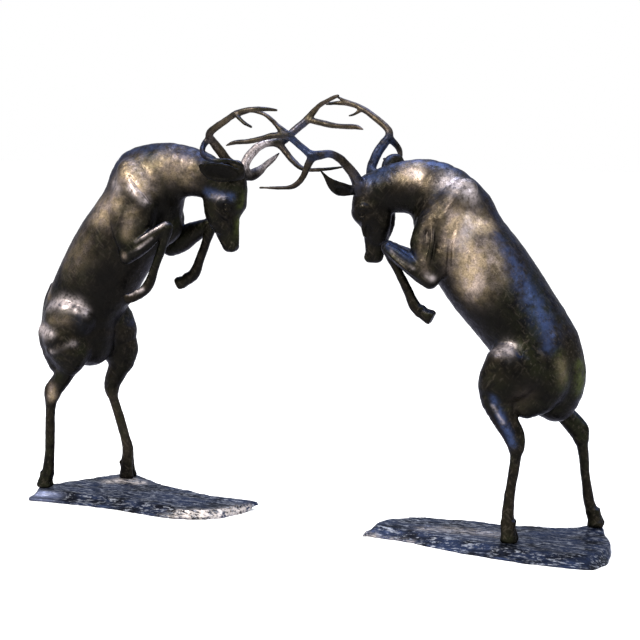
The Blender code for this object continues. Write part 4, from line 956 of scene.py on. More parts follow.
def right_strokes() -> list[Stroke]:
    """The strokes of the right stag, from its body to its ears."""
    return [
        # raised hooves
        *hoof("near fore", (0.634, -0.1, 1.018), (0.608, -0.1, 1.004),
            (0.59, -0.1, 0.996), 0.03, True),
        *hoof("far fore", (0.585, 0.13, 1.132), (0.562, 0.13, 1.125),
            (0.545, 0.13, 1.12), 0.026, True),
        # body
        add("torso", (0.05, 0, 0.75, 0.14), (0.105, 0, 0.875, 0.182), (0.225, 0, 1.04, 0.196),
            (0.35, 0, 1.2, 0.206), (0.46, 0, 1.35, 0.193), (0.515, 0, 1.44, 0.178), across=0.95),
        add("belly", (0.2, 0, 0.9, 0.112), (0.28, 0, 1.0, 0.122), (0.36, 0, 1.1, 0.13),
            (0.44, 0, 1.2, 0.128), across=0.95, blend=0.05),
        add("rump", (0.05, 0, 0.86, 0.13), (0.015, 0, 0.76, 0.128), (0.0, 0, 0.68, 0.11),
            (0.015, 0, 0.62, 0.096), across=0.95, blend=0.05),
        add("pelvis", (0.08, 0, 0.8, 0.16), (0.105, 0, 0.685, 0.13), blend=0.03),
        add("neck", (0.485, 0, 1.455, 0.166), (0.545, 0, 1.535, 0.147), (0.63, 0, 1.58, 0.131),
            (0.725, 0, 1.582, 0.122), (0.82, 0, 1.567, 0.109), (0.88, 0, 1.54, 0.09), across=0.78,
            blend=0.05),
        add("breast", (0.52, 0, 1.4, 0.145), (0.55, 0, 1.33, 0.108), (0.55, 0, 1.25, 0.085),
            across=0.85, blend=0.045),
        add("tail", (-0.02, 0, 0.97, 0.02), (-0.045, 0, 0.89, 0.028), (-0.075, 0, 0.81, 0.03),
            (-0.092, 0, 0.74, 0.024), (-0.09, 0, 0.69, 0.01), across=1.2, blend=0.012),
        # shoulder and near foreleg
        add("near shoulder blade", (0.43, -0.1, 1.58, 0.055), (0.47, -0.125, 1.52, 0.07),
            (0.515, -0.135, 1.45, 0.07), across=0.75, blend=0.04),
        add("near blade ridge", (0.445, -0.14, 1.57, 0.012), (0.48, -0.17, 1.51, 0.015),
            (0.52, -0.178, 1.455, 0.017), blend=0.02),
        add("near shoulder point", (0.555, -0.125, 1.43, 0.055), (0.585, -0.125, 1.39, 0.055),
            blend=0.03),
        add("near triceps", (0.46, -0.12, 1.43, 0.075), (0.48, -0.145, 1.34, 0.075),
            (0.525, -0.165, 1.25, 0.055), (0.56, -0.17, 1.19, 0.038), across=0.8, blend=0.03),
        add("near upper arm", (0.575, -0.125, 1.41, 0.075), (0.6, -0.145, 1.34, 0.072),
            (0.59, -0.165, 1.26, 0.058), (0.585, -0.17, 1.21, 0.045), across=0.8, blend=0.025),
        add("near elbow", (0.578, -0.172, 1.187, 0.029), (0.577, -0.17, 1.17, 0.026), blend=0.014),
        add("near forearm", (0.574, -0.16, 1.171, 0.0372), (0.61, -0.165, 1.199, 0.0431),
            (0.653, -0.165, 1.236, 0.0454), (0.698, -0.155, 1.266, 0.0438),
            (0.745, -0.14, 1.293, 0.0375), (0.779, -0.13, 1.31, 0.0317), blend=0.016),
        add("near forearm cord", (0.615, -0.2, 1.235, 0.008), (0.665, -0.2, 1.268, 0.01),
            (0.72, -0.186, 1.3, 0.01), (0.778, -0.155, 1.325, 0.008), blend=0.01),
        add("near forearm back cord", (0.6, -0.2, 1.18, 0.008), (0.65, -0.208, 1.214, 0.009),
            (0.71, -0.196, 1.252, 0.009), (0.77, -0.162, 1.293, 0.008), blend=0.01),
        add("near cannon", (0.781, -0.128, 1.312, 0.0317), (0.769, -0.125, 1.273, 0.0257),
            (0.748, -0.12, 1.229, 0.0212), (0.727, -0.118, 1.186, 0.02), (0.704, -0.112, 1.139, 0.0212),
            (0.683, -0.106, 1.093, 0.0221), (0.672, -0.103, 1.067, 0.0245), (0.658, -0.1, 1.04, 0.0272),
            (0.634, -0.1, 1.018, 0.0249), blend=0.01),
        # far foreleg
        add("far upper arm", (0.48, 0.12, 1.45, 0.1), (0.52, 0.14, 1.33, 0.09),
            (0.55, 0.15, 1.22, 0.065), across=0.7, blend=0.03),
        add("far forearm", (0.57, 0.16, 1.17, 0.04), (0.65, 0.16, 1.195, 0.044),
            (0.75, 0.14, 1.24, 0.038), (0.828, 0.12, 1.275, 0.031), across=0.9, blend=0.014),
        add("far cannon", (0.828, 0.12, 1.275, 0.031), (0.765, 0.12, 1.235, 0.023),
            (0.68, 0.12, 1.185, 0.021), (0.62, 0.125, 1.148, 0.024), (0.585, 0.13, 1.132, 0.023),
            blend=0.01),
        # near hind leg
        add("near hip", (0.05, -0.115, 0.92, 0.075), (0.11, -0.12, 0.93, 0.075), across=0.85,
            blend=0.03),
        add("near thigh", (0.1, -0.11, 0.86, 0.115), (0.15, -0.14, 0.785, 0.132),
            (0.2, -0.16, 0.75, 0.108), across=0.75, blend=0.035),
        add("near stifle", (0.222, -0.165, 0.81, 0.09), (0.242, -0.17, 0.75, 0.09), across=0.9,
            blend=0.03),
        add("near ham", (0.03, -0.09, 0.82, 0.085), (0.035, -0.11, 0.74, 0.095),
            (0.07, -0.12, 0.67, 0.085), (0.125, -0.135, 0.62, 0.06), across=0.85, blend=0.025),
        add("near gaskin", (0.254, -0.165, 0.698, 0.0858), (0.251, -0.165, 0.643, 0.0746),
            (0.234, -0.165, 0.584, 0.0579), (0.208, -0.162, 0.529, 0.048),
            (0.186, -0.16, 0.493, 0.0453), (0.17, -0.16, 0.457, 0.0408), (0.161, -0.162, 0.426, 0.0326),
            across=0.85, blend=0.03),
        add("near hock", (0.174, -0.16, 0.555, 0.0181), (0.153, -0.16, 0.51, 0.0203),
            (0.141, -0.16, 0.465, 0.0204), (0.148, -0.162, 0.422, 0.0204), blend=0.012),
        add("near hind cannon", (0.161, -0.162, 0.426, 0.0326), (0.162, -0.165, 0.385, 0.0254),
            (0.165, -0.17, 0.348, 0.024), (0.168, -0.175, 0.312, 0.0241), (0.173, -0.18, 0.275, 0.0236),
            (0.177, -0.185, 0.238, 0.0241), (0.181, -0.19, 0.202, 0.025),
            (0.183, -0.195, 0.165, 0.0259), (0.184, -0.2, 0.129, 0.0282),
            (0.184, -0.202, 0.096, 0.0296), blend=0.012),
        *hoof("near hind", (0.184, -0.203, 0.085), (0.175, -0.209, 0.035),
            (0.173, -0.211, 0.012), 0.0365),
        # far hind leg
        add("far hip", (0.045, 0.115, 0.9, 0.078), (0.11, 0.12, 0.92, 0.07), across=0.85, blend=0.03),
        add("far thigh", (0.07, 0.11, 0.81, 0.112), (0.07, 0.13, 0.72, 0.126),
            (0.082, 0.14, 0.65, 0.108), across=0.75, blend=0.035),
        add("far gaskin", (0.034, 0.14, 0.601, 0.0657), (0.013, 0.14, 0.554, 0.054),
            (-0.017, 0.14, 0.518, 0.0441), (-0.05, 0.14, 0.48, 0.0436), (-0.074, 0.14, 0.448, 0.0403),
            (-0.089, 0.14, 0.413, 0.0319), across=0.85, blend=0.03),
        add("far hock", (-0.038, 0.14, 0.534, 0.0187), (-0.077, 0.14, 0.499, 0.0211),
            (-0.103, 0.14, 0.463, 0.0215), (-0.102, 0.14, 0.424, 0.0215), blend=0.014),
        add("far hind cannon", (-0.089, 0.14, 0.413, 0.0319), (-0.097, 0.14, 0.375, 0.0263),
            (-0.104, 0.14, 0.332, 0.0235), (-0.109, 0.14, 0.294, 0.0226), (-0.113, 0.14, 0.255, 0.0221),
            (-0.119, 0.14, 0.217, 0.0221), (-0.125, 0.14, 0.178, 0.0235), (-0.131, 0.14, 0.14, 0.0254),
            (-0.14, 0.14, 0.102, 0.0264), (-0.152, 0.14, 0.069, 0.0297), blend=0.012),
        *hoof("far hind", (-0.153, 0.14, 0.066), (-0.168, 0.14, 0.03), (-0.171, 0.14, 0.011), 0.036),
        # creases between the muscles
        cut("near shoulder crease", (0.35, -0.115, 1.545, 0.005), (0.385, -0.15, 1.515, 0.008),
            (0.42, -0.178, 1.485, 0.008), (0.455, -0.198, 1.43, 0.009), (0.472, -0.203, 1.36, 0.009),
            (0.478, -0.2, 1.28, 0.009), (0.48, -0.19, 1.2, 0.006), blend=0.014),
        add("near upper arm cord", (0.56, -0.185, 1.42, 0.008), (0.555, -0.205, 1.36, 0.01),
            (0.565, -0.212, 1.29, 0.009), (0.58, -0.205, 1.23, 0.007), blend=0.014),
        cut("near upper arm crease", (0.585, -0.185, 1.4, 0.005), (0.588, -0.212, 1.34, 0.007),
            (0.6, -0.213, 1.28, 0.005), blend=0.012),
        cut("near flank crease", (0.305, -0.14, 0.855, 0.006), (0.27, -0.18, 0.895, 0.009),
            (0.225, -0.198, 0.912, 0.01), (0.18, -0.208, 0.9, 0.009), (0.145, -0.215, 0.865, 0.005),
            blend=0.012),
        cut("near ham crease", (0.075, -0.235, 0.83, 0.004), (0.085, -0.245, 0.75, 0.008),
            (0.11, -0.238, 0.67, 0.004), blend=0.03),
        # head
        add("cranium", (0.905, 0, 1.57, 0.068), (0.908, 0, 1.52, 0.075), (0.905, 0, 1.47, 0.082),
            across=0.88, blend=0.03),
        add("forehead", (0.928, 0, 1.5, 0.063), (0.934, 0, 1.462, 0.062), across=1.15, blend=0.02),
        *cheeks((0.86, 0.03, 1.48, 0.064), (0.852, 0.034, 1.41, 0.055), (0.86, 0.03, 1.35, 0.04)),
        add("muzzle", (0.9, 0, 1.42, 0.055), (0.892, 0, 1.36, 0.047), (0.887, 0, 1.29, 0.043),
            (0.887, 0, 1.262, 0.042), across=0.82, blend=0.025),
        add("jaw", (0.858, 0, 1.4, 0.045), (0.858, 0, 1.33, 0.036), (0.868, 0, 1.275, 0.03),
            (0.87, 0, 1.25, 0.025), across=0.85, blend=0.014),
        *face((0.925, 0.066, 1.455), (0.887, 1.262)),
        # antlers and ears
        add("near burr", (0.942, -0.048, 1.578, 0.034), (0.946, -0.05, 1.586, 0.034), blend=0.01),
        add("near beam", (0.934, -0.045, 1.557, 0.03), (0.95, -0.05, 1.594, 0.0285),
            (0.96, -0.075, 1.63, 0.0262), (0.97, -0.09, 1.651, 0.023), (0.981, -0.105, 1.67, 0.022),
            (0.993, -0.12, 1.689, 0.0215), (1.005, -0.137, 1.708, 0.0198), (1.018, -0.15, 1.72, 0.0185),
            (1.032, -0.165, 1.731, 0.0175), (1.047, -0.178, 1.736, 0.0183),
            (1.063, -0.187, 1.736, 0.0188), (1.09, -0.195, 1.732, 0.0215), (1.114, -0.2, 1.73, 0.022),
            (1.139, -0.2, 1.738, 0.0185), (1.16, -0.2, 1.754, 0.0168), (1.185, -0.2, 1.773, 0.0163),
            (1.209, -0.2, 1.793, 0.0158), (1.241, -0.2, 1.819, 0.0175), (1.277, -0.195, 1.844, 0.0165),
            (1.298, -0.19, 1.861, 0.0125), (1.312, -0.185, 1.873, 0.0112),
            (1.34, -0.178, 1.896, 0.0098), (1.367, -0.17, 1.912, 0.009), (1.401, -0.16, 1.922, 0.0083),
            (1.44, -0.15, 1.927, 0.0072), (1.484, -0.14, 1.927, 0.0055), blend=0.008),
        add("near low tine", (1.122, -0.2, 1.725, 0.021), (1.141, -0.2, 1.697, 0.0175),
            (1.156, -0.2, 1.663, 0.0155), (1.173, -0.2, 1.628, 0.0145), (1.2, -0.2, 1.598, 0.0128),
            (1.234, -0.2, 1.582, 0.0108), (1.284, -0.2, 1.578, 0.0085), (1.333, -0.2, 1.577, 0.0068),
            (1.383, -0.2, 1.577, 0.005), blend=0.01),
        add("near left tine", (1.241, -0.2, 1.821, 0.017), (1.282, -0.2, 1.819, 0.0158),
            (1.322, -0.2, 1.816, 0.0145), (1.356, -0.2, 1.808, 0.0133), (1.39, -0.203, 1.799, 0.0125),
            (1.429, -0.205, 1.791, 0.0122), (1.464, -0.205, 1.787, 0.0108),
            (1.499, -0.205, 1.785, 0.0104), (1.525, -0.205, 1.779, 0.0085),
            (1.548, -0.205, 1.77, 0.0045), blend=0.01),
        add("far burr", (0.906, 0.058, 1.62, 0.033), (0.905, 0.062, 1.628, 0.033), blend=0.01),
        add("far beam", (0.92, 0.05, 1.579, 0.03), (0.922, 0.06, 1.625, 0.0255),
            (0.929, 0.09, 1.666, 0.0235), (0.923, 0.115, 1.7, 0.0232), (0.917, 0.135, 1.725, 0.0235),
            (0.903, 0.15, 1.753, 0.0233), (0.888, 0.163, 1.777, 0.022), (0.874, 0.175, 1.798, 0.0205),
            (0.871, 0.185, 1.819, 0.0187), (0.877, 0.19, 1.836, 0.018), (0.893, 0.195, 1.853, 0.0168),
            (0.912, 0.2, 1.868, 0.0163), (0.933, 0.205, 1.883, 0.016), (0.955, 0.21, 1.898, 0.0155),
            (0.976, 0.215, 1.912, 0.0155), (0.998, 0.22, 1.926, 0.0152), (1.02, 0.225, 1.937, 0.0145),
            (1.041, 0.228, 1.947, 0.014), (1.062, 0.23, 1.955, 0.0135), (1.088, 0.232, 1.961, 0.0125),
            (1.117, 0.235, 1.964, 0.0118), (1.145, 0.235, 1.964, 0.0103), (1.176, 0.234, 1.962, 0.0082),
            (1.203, 0.232, 1.958, 0.0055), blend=0.008),
        add("far top tine", (1.088, 0.233, 1.966, 0.009), (1.118, 0.23, 1.979, 0.0078),
            (1.143, 0.228, 1.991, 0.0055), blend=0.008),
        add("far small tine", (1.025, 0.225, 1.933, 0.01), (1.04, 0.218, 1.92, 0.0082),
            (1.057, 0.207, 1.909, 0.0068), (1.076, 0.2, 1.903, 0.0045), blend=0.01),
        add("far curl tine", (0.868, 0.17, 1.8, 0.018), (0.852, 0.195, 1.779, 0.0165),
            (0.838, 0.22, 1.756, 0.0145), (0.834, 0.243, 1.732, 0.0132), (0.837, 0.26, 1.707, 0.0108),
            (0.852, 0.268, 1.689, 0.0092), (0.883, 0.262, 1.689, 0.0075), (0.913, 0.245, 1.697, 0.0058),
            blend=0.01),
        *ear("near", ((0.957, -0.05, 1.561, 0.022), (0.982, -0.08, 1.566, 0.028),
            (0.997, -0.095, 1.568, 0.0315), (1.011, -0.11, 1.571, 0.036), (1.024, -0.13, 1.578, 0.0345),
            (1.039, -0.145, 1.591, 0.0285), (1.053, -0.16, 1.609, 0.0195),
            (1.067, -0.175, 1.63, 0.0115), (1.08, -0.188, 1.65, 0.007), (1.089, -0.197, 1.664, 0.004)),
            (-0.35, -0.8, -0.45)),
        add("far ear", (0.865, 0.08, 1.653, 0.014), (0.859, 0.11, 1.678, 0.025),
            (0.845, 0.145, 1.694, 0.03), (0.828, 0.175, 1.699, 0.026), (0.809, 0.195, 1.689, 0.012),
            across=0.5, blend=0.01),
    ]


RIPPLE_SEEDS = {Side.LEFT: 11, Side.RIGHT: 23}


def ripple(x: np.ndarray, y: np.ndarray, size: float, seed: int) -> np.ndarray:
    """Smooth random relief from 0 to 1.

    Args:
        x: Places along X.
        y: Places along Y.
        size: The width of one bump.
        seed: Tells two reliefs apart.

    Returns:
        The relief at each place.
    """
    u, v = x / size, y / size
    column, row = np.floor(u).astype(np.int64), np.floor(v).astype(np.int64)
    s, t = u - column, v - row
    s, t = s * s * (3 - 2 * s), t * t * (3 - 2 * t)

    def corner(right: int, up: int) -> np.ndarray:
        """The random height of one corner of each square."""
        key = ((column + right) * 374761393 + (row + up) * 668265263 + seed * 974634777) & 0xFFFFFFFF
        key = ((key ^ (key >> 13)) * 1274126177) & 0xFFFFFFFF
        return ((key ^ (key >> 16)) & 0xFFFF) / 65535.0

    low = corner(0, 0) * (1 - s) + corner(1, 0) * s
    high = corner(0, 1) * (1 - s) + corner(1, 1) * s
    return low * (1 - t) + high * t


@dataclass
class RockBase:
    """A chiselled slab that one stag's hind hooves stand on, with a wavy edge.

    Edges has a place along X with the near and the far edge there, from the rear end to the tip. On the
    near side the top falls over a slope to a lip, but stays steep between the two places of steep. The
    underside curls up to undercut at the tip.
    """

    side: Side
    edges: tuple[Spot, ...]
    soles: tuple[Station, ...]
    thickness: float = 0.05
    cell: float = FINE_CELL
    relief: float = 0.011
    worn: float = 0.012
    slope: float = 0.085
    lip: float = 0.008
    steep: tuple[float, float] = (9.0, 9.0)
    undercut: float = 0.0
    curl: float = 0.055
    jag: float = 0.008
    run_out: float = 0.05
    dabs: list[Dab] = field(default_factory=list)

    def outline(self) -> np.ndarray:
        """The slab's edge, as a closed run of points in the group's frame."""
        far = tuple((x, y, 0.0, 0.0) for x, _, y in self.edges)
        near = tuple((x, y, 0.0, 0.0) for x, y, _ in self.edges[::-1])
        return np.vstack([smooth_path(far)[:, :2], smooth_path(near)[:, :2]])

    def edge_distance(self, x: np.ndarray, y: np.ndarray) -> np.ndarray:
        """How far each place is outside the slab's edge, below 0 inside it."""
        ring = self.outline()
        nearest = np.full(np.broadcast(x, y).shape, 1e9)
        inside = np.zeros(nearest.shape, bool)
        for (ax, ay), (bx, by) in zip(ring, np.roll(ring, -1, 0)):
            run_x, run_y = bx - ax, by - ay
            t = np.clip(((x - ax) * run_x + (y - ay) * run_y) / max(run_x**2 + run_y**2, 1e-12), 0, 1)
            nearest = np.minimum(nearest, (x - ax - t * run_x) ** 2 + (y - ay - t * run_y) ** 2)
            if ay != by:
                crosses = ((ay > y) != (by > y)) & (x < ax + (y - ay) * run_x / run_y)
                inside ^= crosses
        return np.where(inside, -1, 1) * np.sqrt(nearest)

    def fall(self, x: np.ndarray, y: np.ndarray, inside: np.ndarray) -> np.ndarray:
        """How far the top has come down to the lip, by a long slope on the near side alone.

        Args:
            x: Places along X.
            y: Places along Y.
            inside: How far each place is inside the edge.

        Returns:
            A share from 0 on the flat top to 1 at the lip.
        """
        order = sorted(self.edges)
        along = [spot[0] for spot in order]
        near = np.interp(x, along, [spot[1] for spot in order])
        far = np.interp(x, along, [spot[2] for spot in order])
        share = np.clip((far - y) / np.maximum(far - near, 0.02), 0, 1) ** 2
        kept = np.clip((x - self.steep[0]) / 0.06, 0, 1) * np.clip((self.steep[1] - x) / 0.06, 0, 1)
        width = 0.006 + self.slope * share * (1 - 0.85 * kept)
        t = np.clip(1 - inside / width, 0, 1)
        return t * t * (3 - 2 * t)

    def build(self) -> bpy.types.Object:
        """Carves the slab.

        Returns:
            The base, in place of its CAD node.
        """
        low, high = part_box(f"{self.side.word}_base")
        room = Vector((0.01, 0.01, 0.01))
        clay = Clay(tuple(low - room), tuple(high + room), self.cell, 0.03)
        x, y, z = clay.axes(tuple(slice(0, count) for count in clay.depth.shape))
        flat_x, flat_y = x[:, :, 0].astype(float), y[:, :, 0].astype(float)
        seed = RIPPLE_SEEDS[self.side]
        rough = (0.5 * ripple(flat_x * 0.45, flat_y, 0.05, seed)
                 + 0.3 * ripple(flat_x * 0.5, flat_y, 0.021, seed + 1)
                 + 0.2 * ripple(flat_x * 0.6, flat_y, 0.011, seed + 2))
        pad = np.ones_like(rough)
        for sole_x, sole_y, _, radius in self.soles:
            gap = np.hypot(flat_x - sole_x, flat_y - sole_y)
            pad = np.minimum(pad, np.clip((gap - radius) / self.run_out, 0, 1))
        jag = (ripple(flat_x, flat_y, 0.035, seed + 5) - 0.6) * self.jag
        edge = self.edge_distance(flat_x, flat_y) - jag
        top = self.thickness - 0.001 - self.relief * rough * (0.15 + 0.85 * pad)
        fall = self.fall(flat_x, flat_y, -edge)
        top = top - (top - self.lip - 0.4 * self.relief * rough) * fall
        below = top[:, :, None] - z
        rim = edge[:, :, None] + 0.25 * np.maximum(self.worn - below, 0) ** 2 / self.worn
        end = max(spot[0] for spot in self.edges)
        tip = np.clip((flat_x - end + self.curl) / self.curl, 0, 1)
        floor = (self.undercut * tip * (2 - tip))[:, :, None] - 0.0005
        solid = np.maximum(rim, np.maximum(-below, floor - z))
        clay.depth[...] = np.clip(solid, -0.03, 0.03)
        name = f"{self.side.word}_base_cast"
        obj = bpy.data.objects.new(name, clay.skin(name))
        bpy.context.scene.collection.objects.link(obj)
        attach(obj, "root")
        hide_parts(f"{self.side.word}_base")
        return obj

    def dress(self, obj: bpy.types.Object, rock: bpy.types.Material) -> None:
        """Gives the base its finish, with its painted pale highlights and its painted sky reflection."""
        tint(obj, self.dabs)
        obj.data.materials.append(rock)


@dataclass
class Studio:
    """A plain pale floor, soft lights and the photograph's camera."""

    camera_place: Spot = (2.0705, -5.8112, 2.05)
    heading: float = 19.0
    pitch: float = 9.8
    focal: float = 1300.0
    image_width: float = 640.0
    floor_glow: float = 0.14

    def build(self) -> None:
        """Sets up the floor, the lights and the camera."""
        self.floor()
        self.lights()
        self.camera()

    def floor(self) -> None:
        """Lays the floor."""
        corners = np.array([(-30, -30, 0), (30, -30, 0), (30, 30, 0), (-30, 30, 0)], float)
        mesh = mesh_of("floor", corners, np.array([[0, 1, 2, 3]]))
        floor = bpy.data.objects.new("floor", mesh)
        bpy.context.scene.collection.objects.link(floor)
        paint = Shader("pale floor")
        paint.end.inputs["Base Color"].default_value = (0.93, 0.93, 0.93, 1.0)
        paint.end.inputs["Roughness"].default_value = 0.9
        paint.end.inputs["Emission Color"].default_value = (1.0, 1.0, 1.0, 1.0)
        paint.end.inputs["Emission Strength"].default_value = self.floor_glow
        mesh.materials.append(paint.material)

    def lights(self) -> None:
        """Hangs the lights and sets the light of the room."""
        world = bpy.data.worlds.new("studio")
        world.use_nodes = True
        background = world.node_tree.nodes["Background"]
        background.inputs["Color"].default_value = (1.0, 1.0, 1.0, 1.0)
        background.inputs["Strength"].default_value = 1.0
        bpy.context.scene.world = world
        self.light("key", (-3.0, -4.5, 5.5), (0.0, 0.0, 1.2), 1.8, 620.0, (1.0, 0.95, 0.88))
        self.light("fill", (4.5, -2.5, 4.0), (0.3, 0.0, 1.0), 2.0, 110.0, (0.85, 0.9, 1.0))
        self.light("top", (0.0, 1.5, 6.0), (0.0, 0.0, 1.0), 3.0, 260.0, (0.82, 0.88, 1.0))

    def light(self, name: str, place: Spot, target: Spot, size: float, power: float,
              colour: tuple[float, float, float]) -> None:
        """Hangs one soft square light.

        Args:
            name: What it is called.
            place: Where it hangs.
            target: What it points at.
            size: The length of its side.
            power: Its power in watts.
            colour: Its colour.
        """
        data = bpy.data.lights.new(name, "AREA")
        data.size, data.energy, data.color = size, power, colour
        lamp = bpy.data.objects.new(name, data)
        lamp.location = place
        lamp.rotation_mode = "QUATERNION"
        lamp.rotation_quaternion = (Vector(target) - Vector(place)).to_track_quat("-Z", "Y")
        bpy.context.scene.collection.objects.link(lamp)

    def camera(self) -> None:
        """Stands the camera where the photographer stood."""
        turn, dip = math.radians(self.heading), math.radians(self.pitch)
        level = math.cos(dip)
        ahead = Vector((-math.sin(turn) * level, math.cos(turn) * level, -math.sin(dip)))
        data = bpy.data.cameras.new("camera")
        data.sensor_width = 36.0
        data.lens = self.focal * data.sensor_width / self.image_width
        camera = bpy.data.objects.new("camera", data)
        camera.location = self.camera_place
        camera.rotation_mode = "QUATERNION"
        camera.rotation_quaternion = ahead.to_track_quat("-Z", "Y")
        bpy.context.scene.collection.objects.link(camera)
        scene = bpy.context.scene
        scene.camera = camera
        scene.view_settings.view_transform = "Standard"


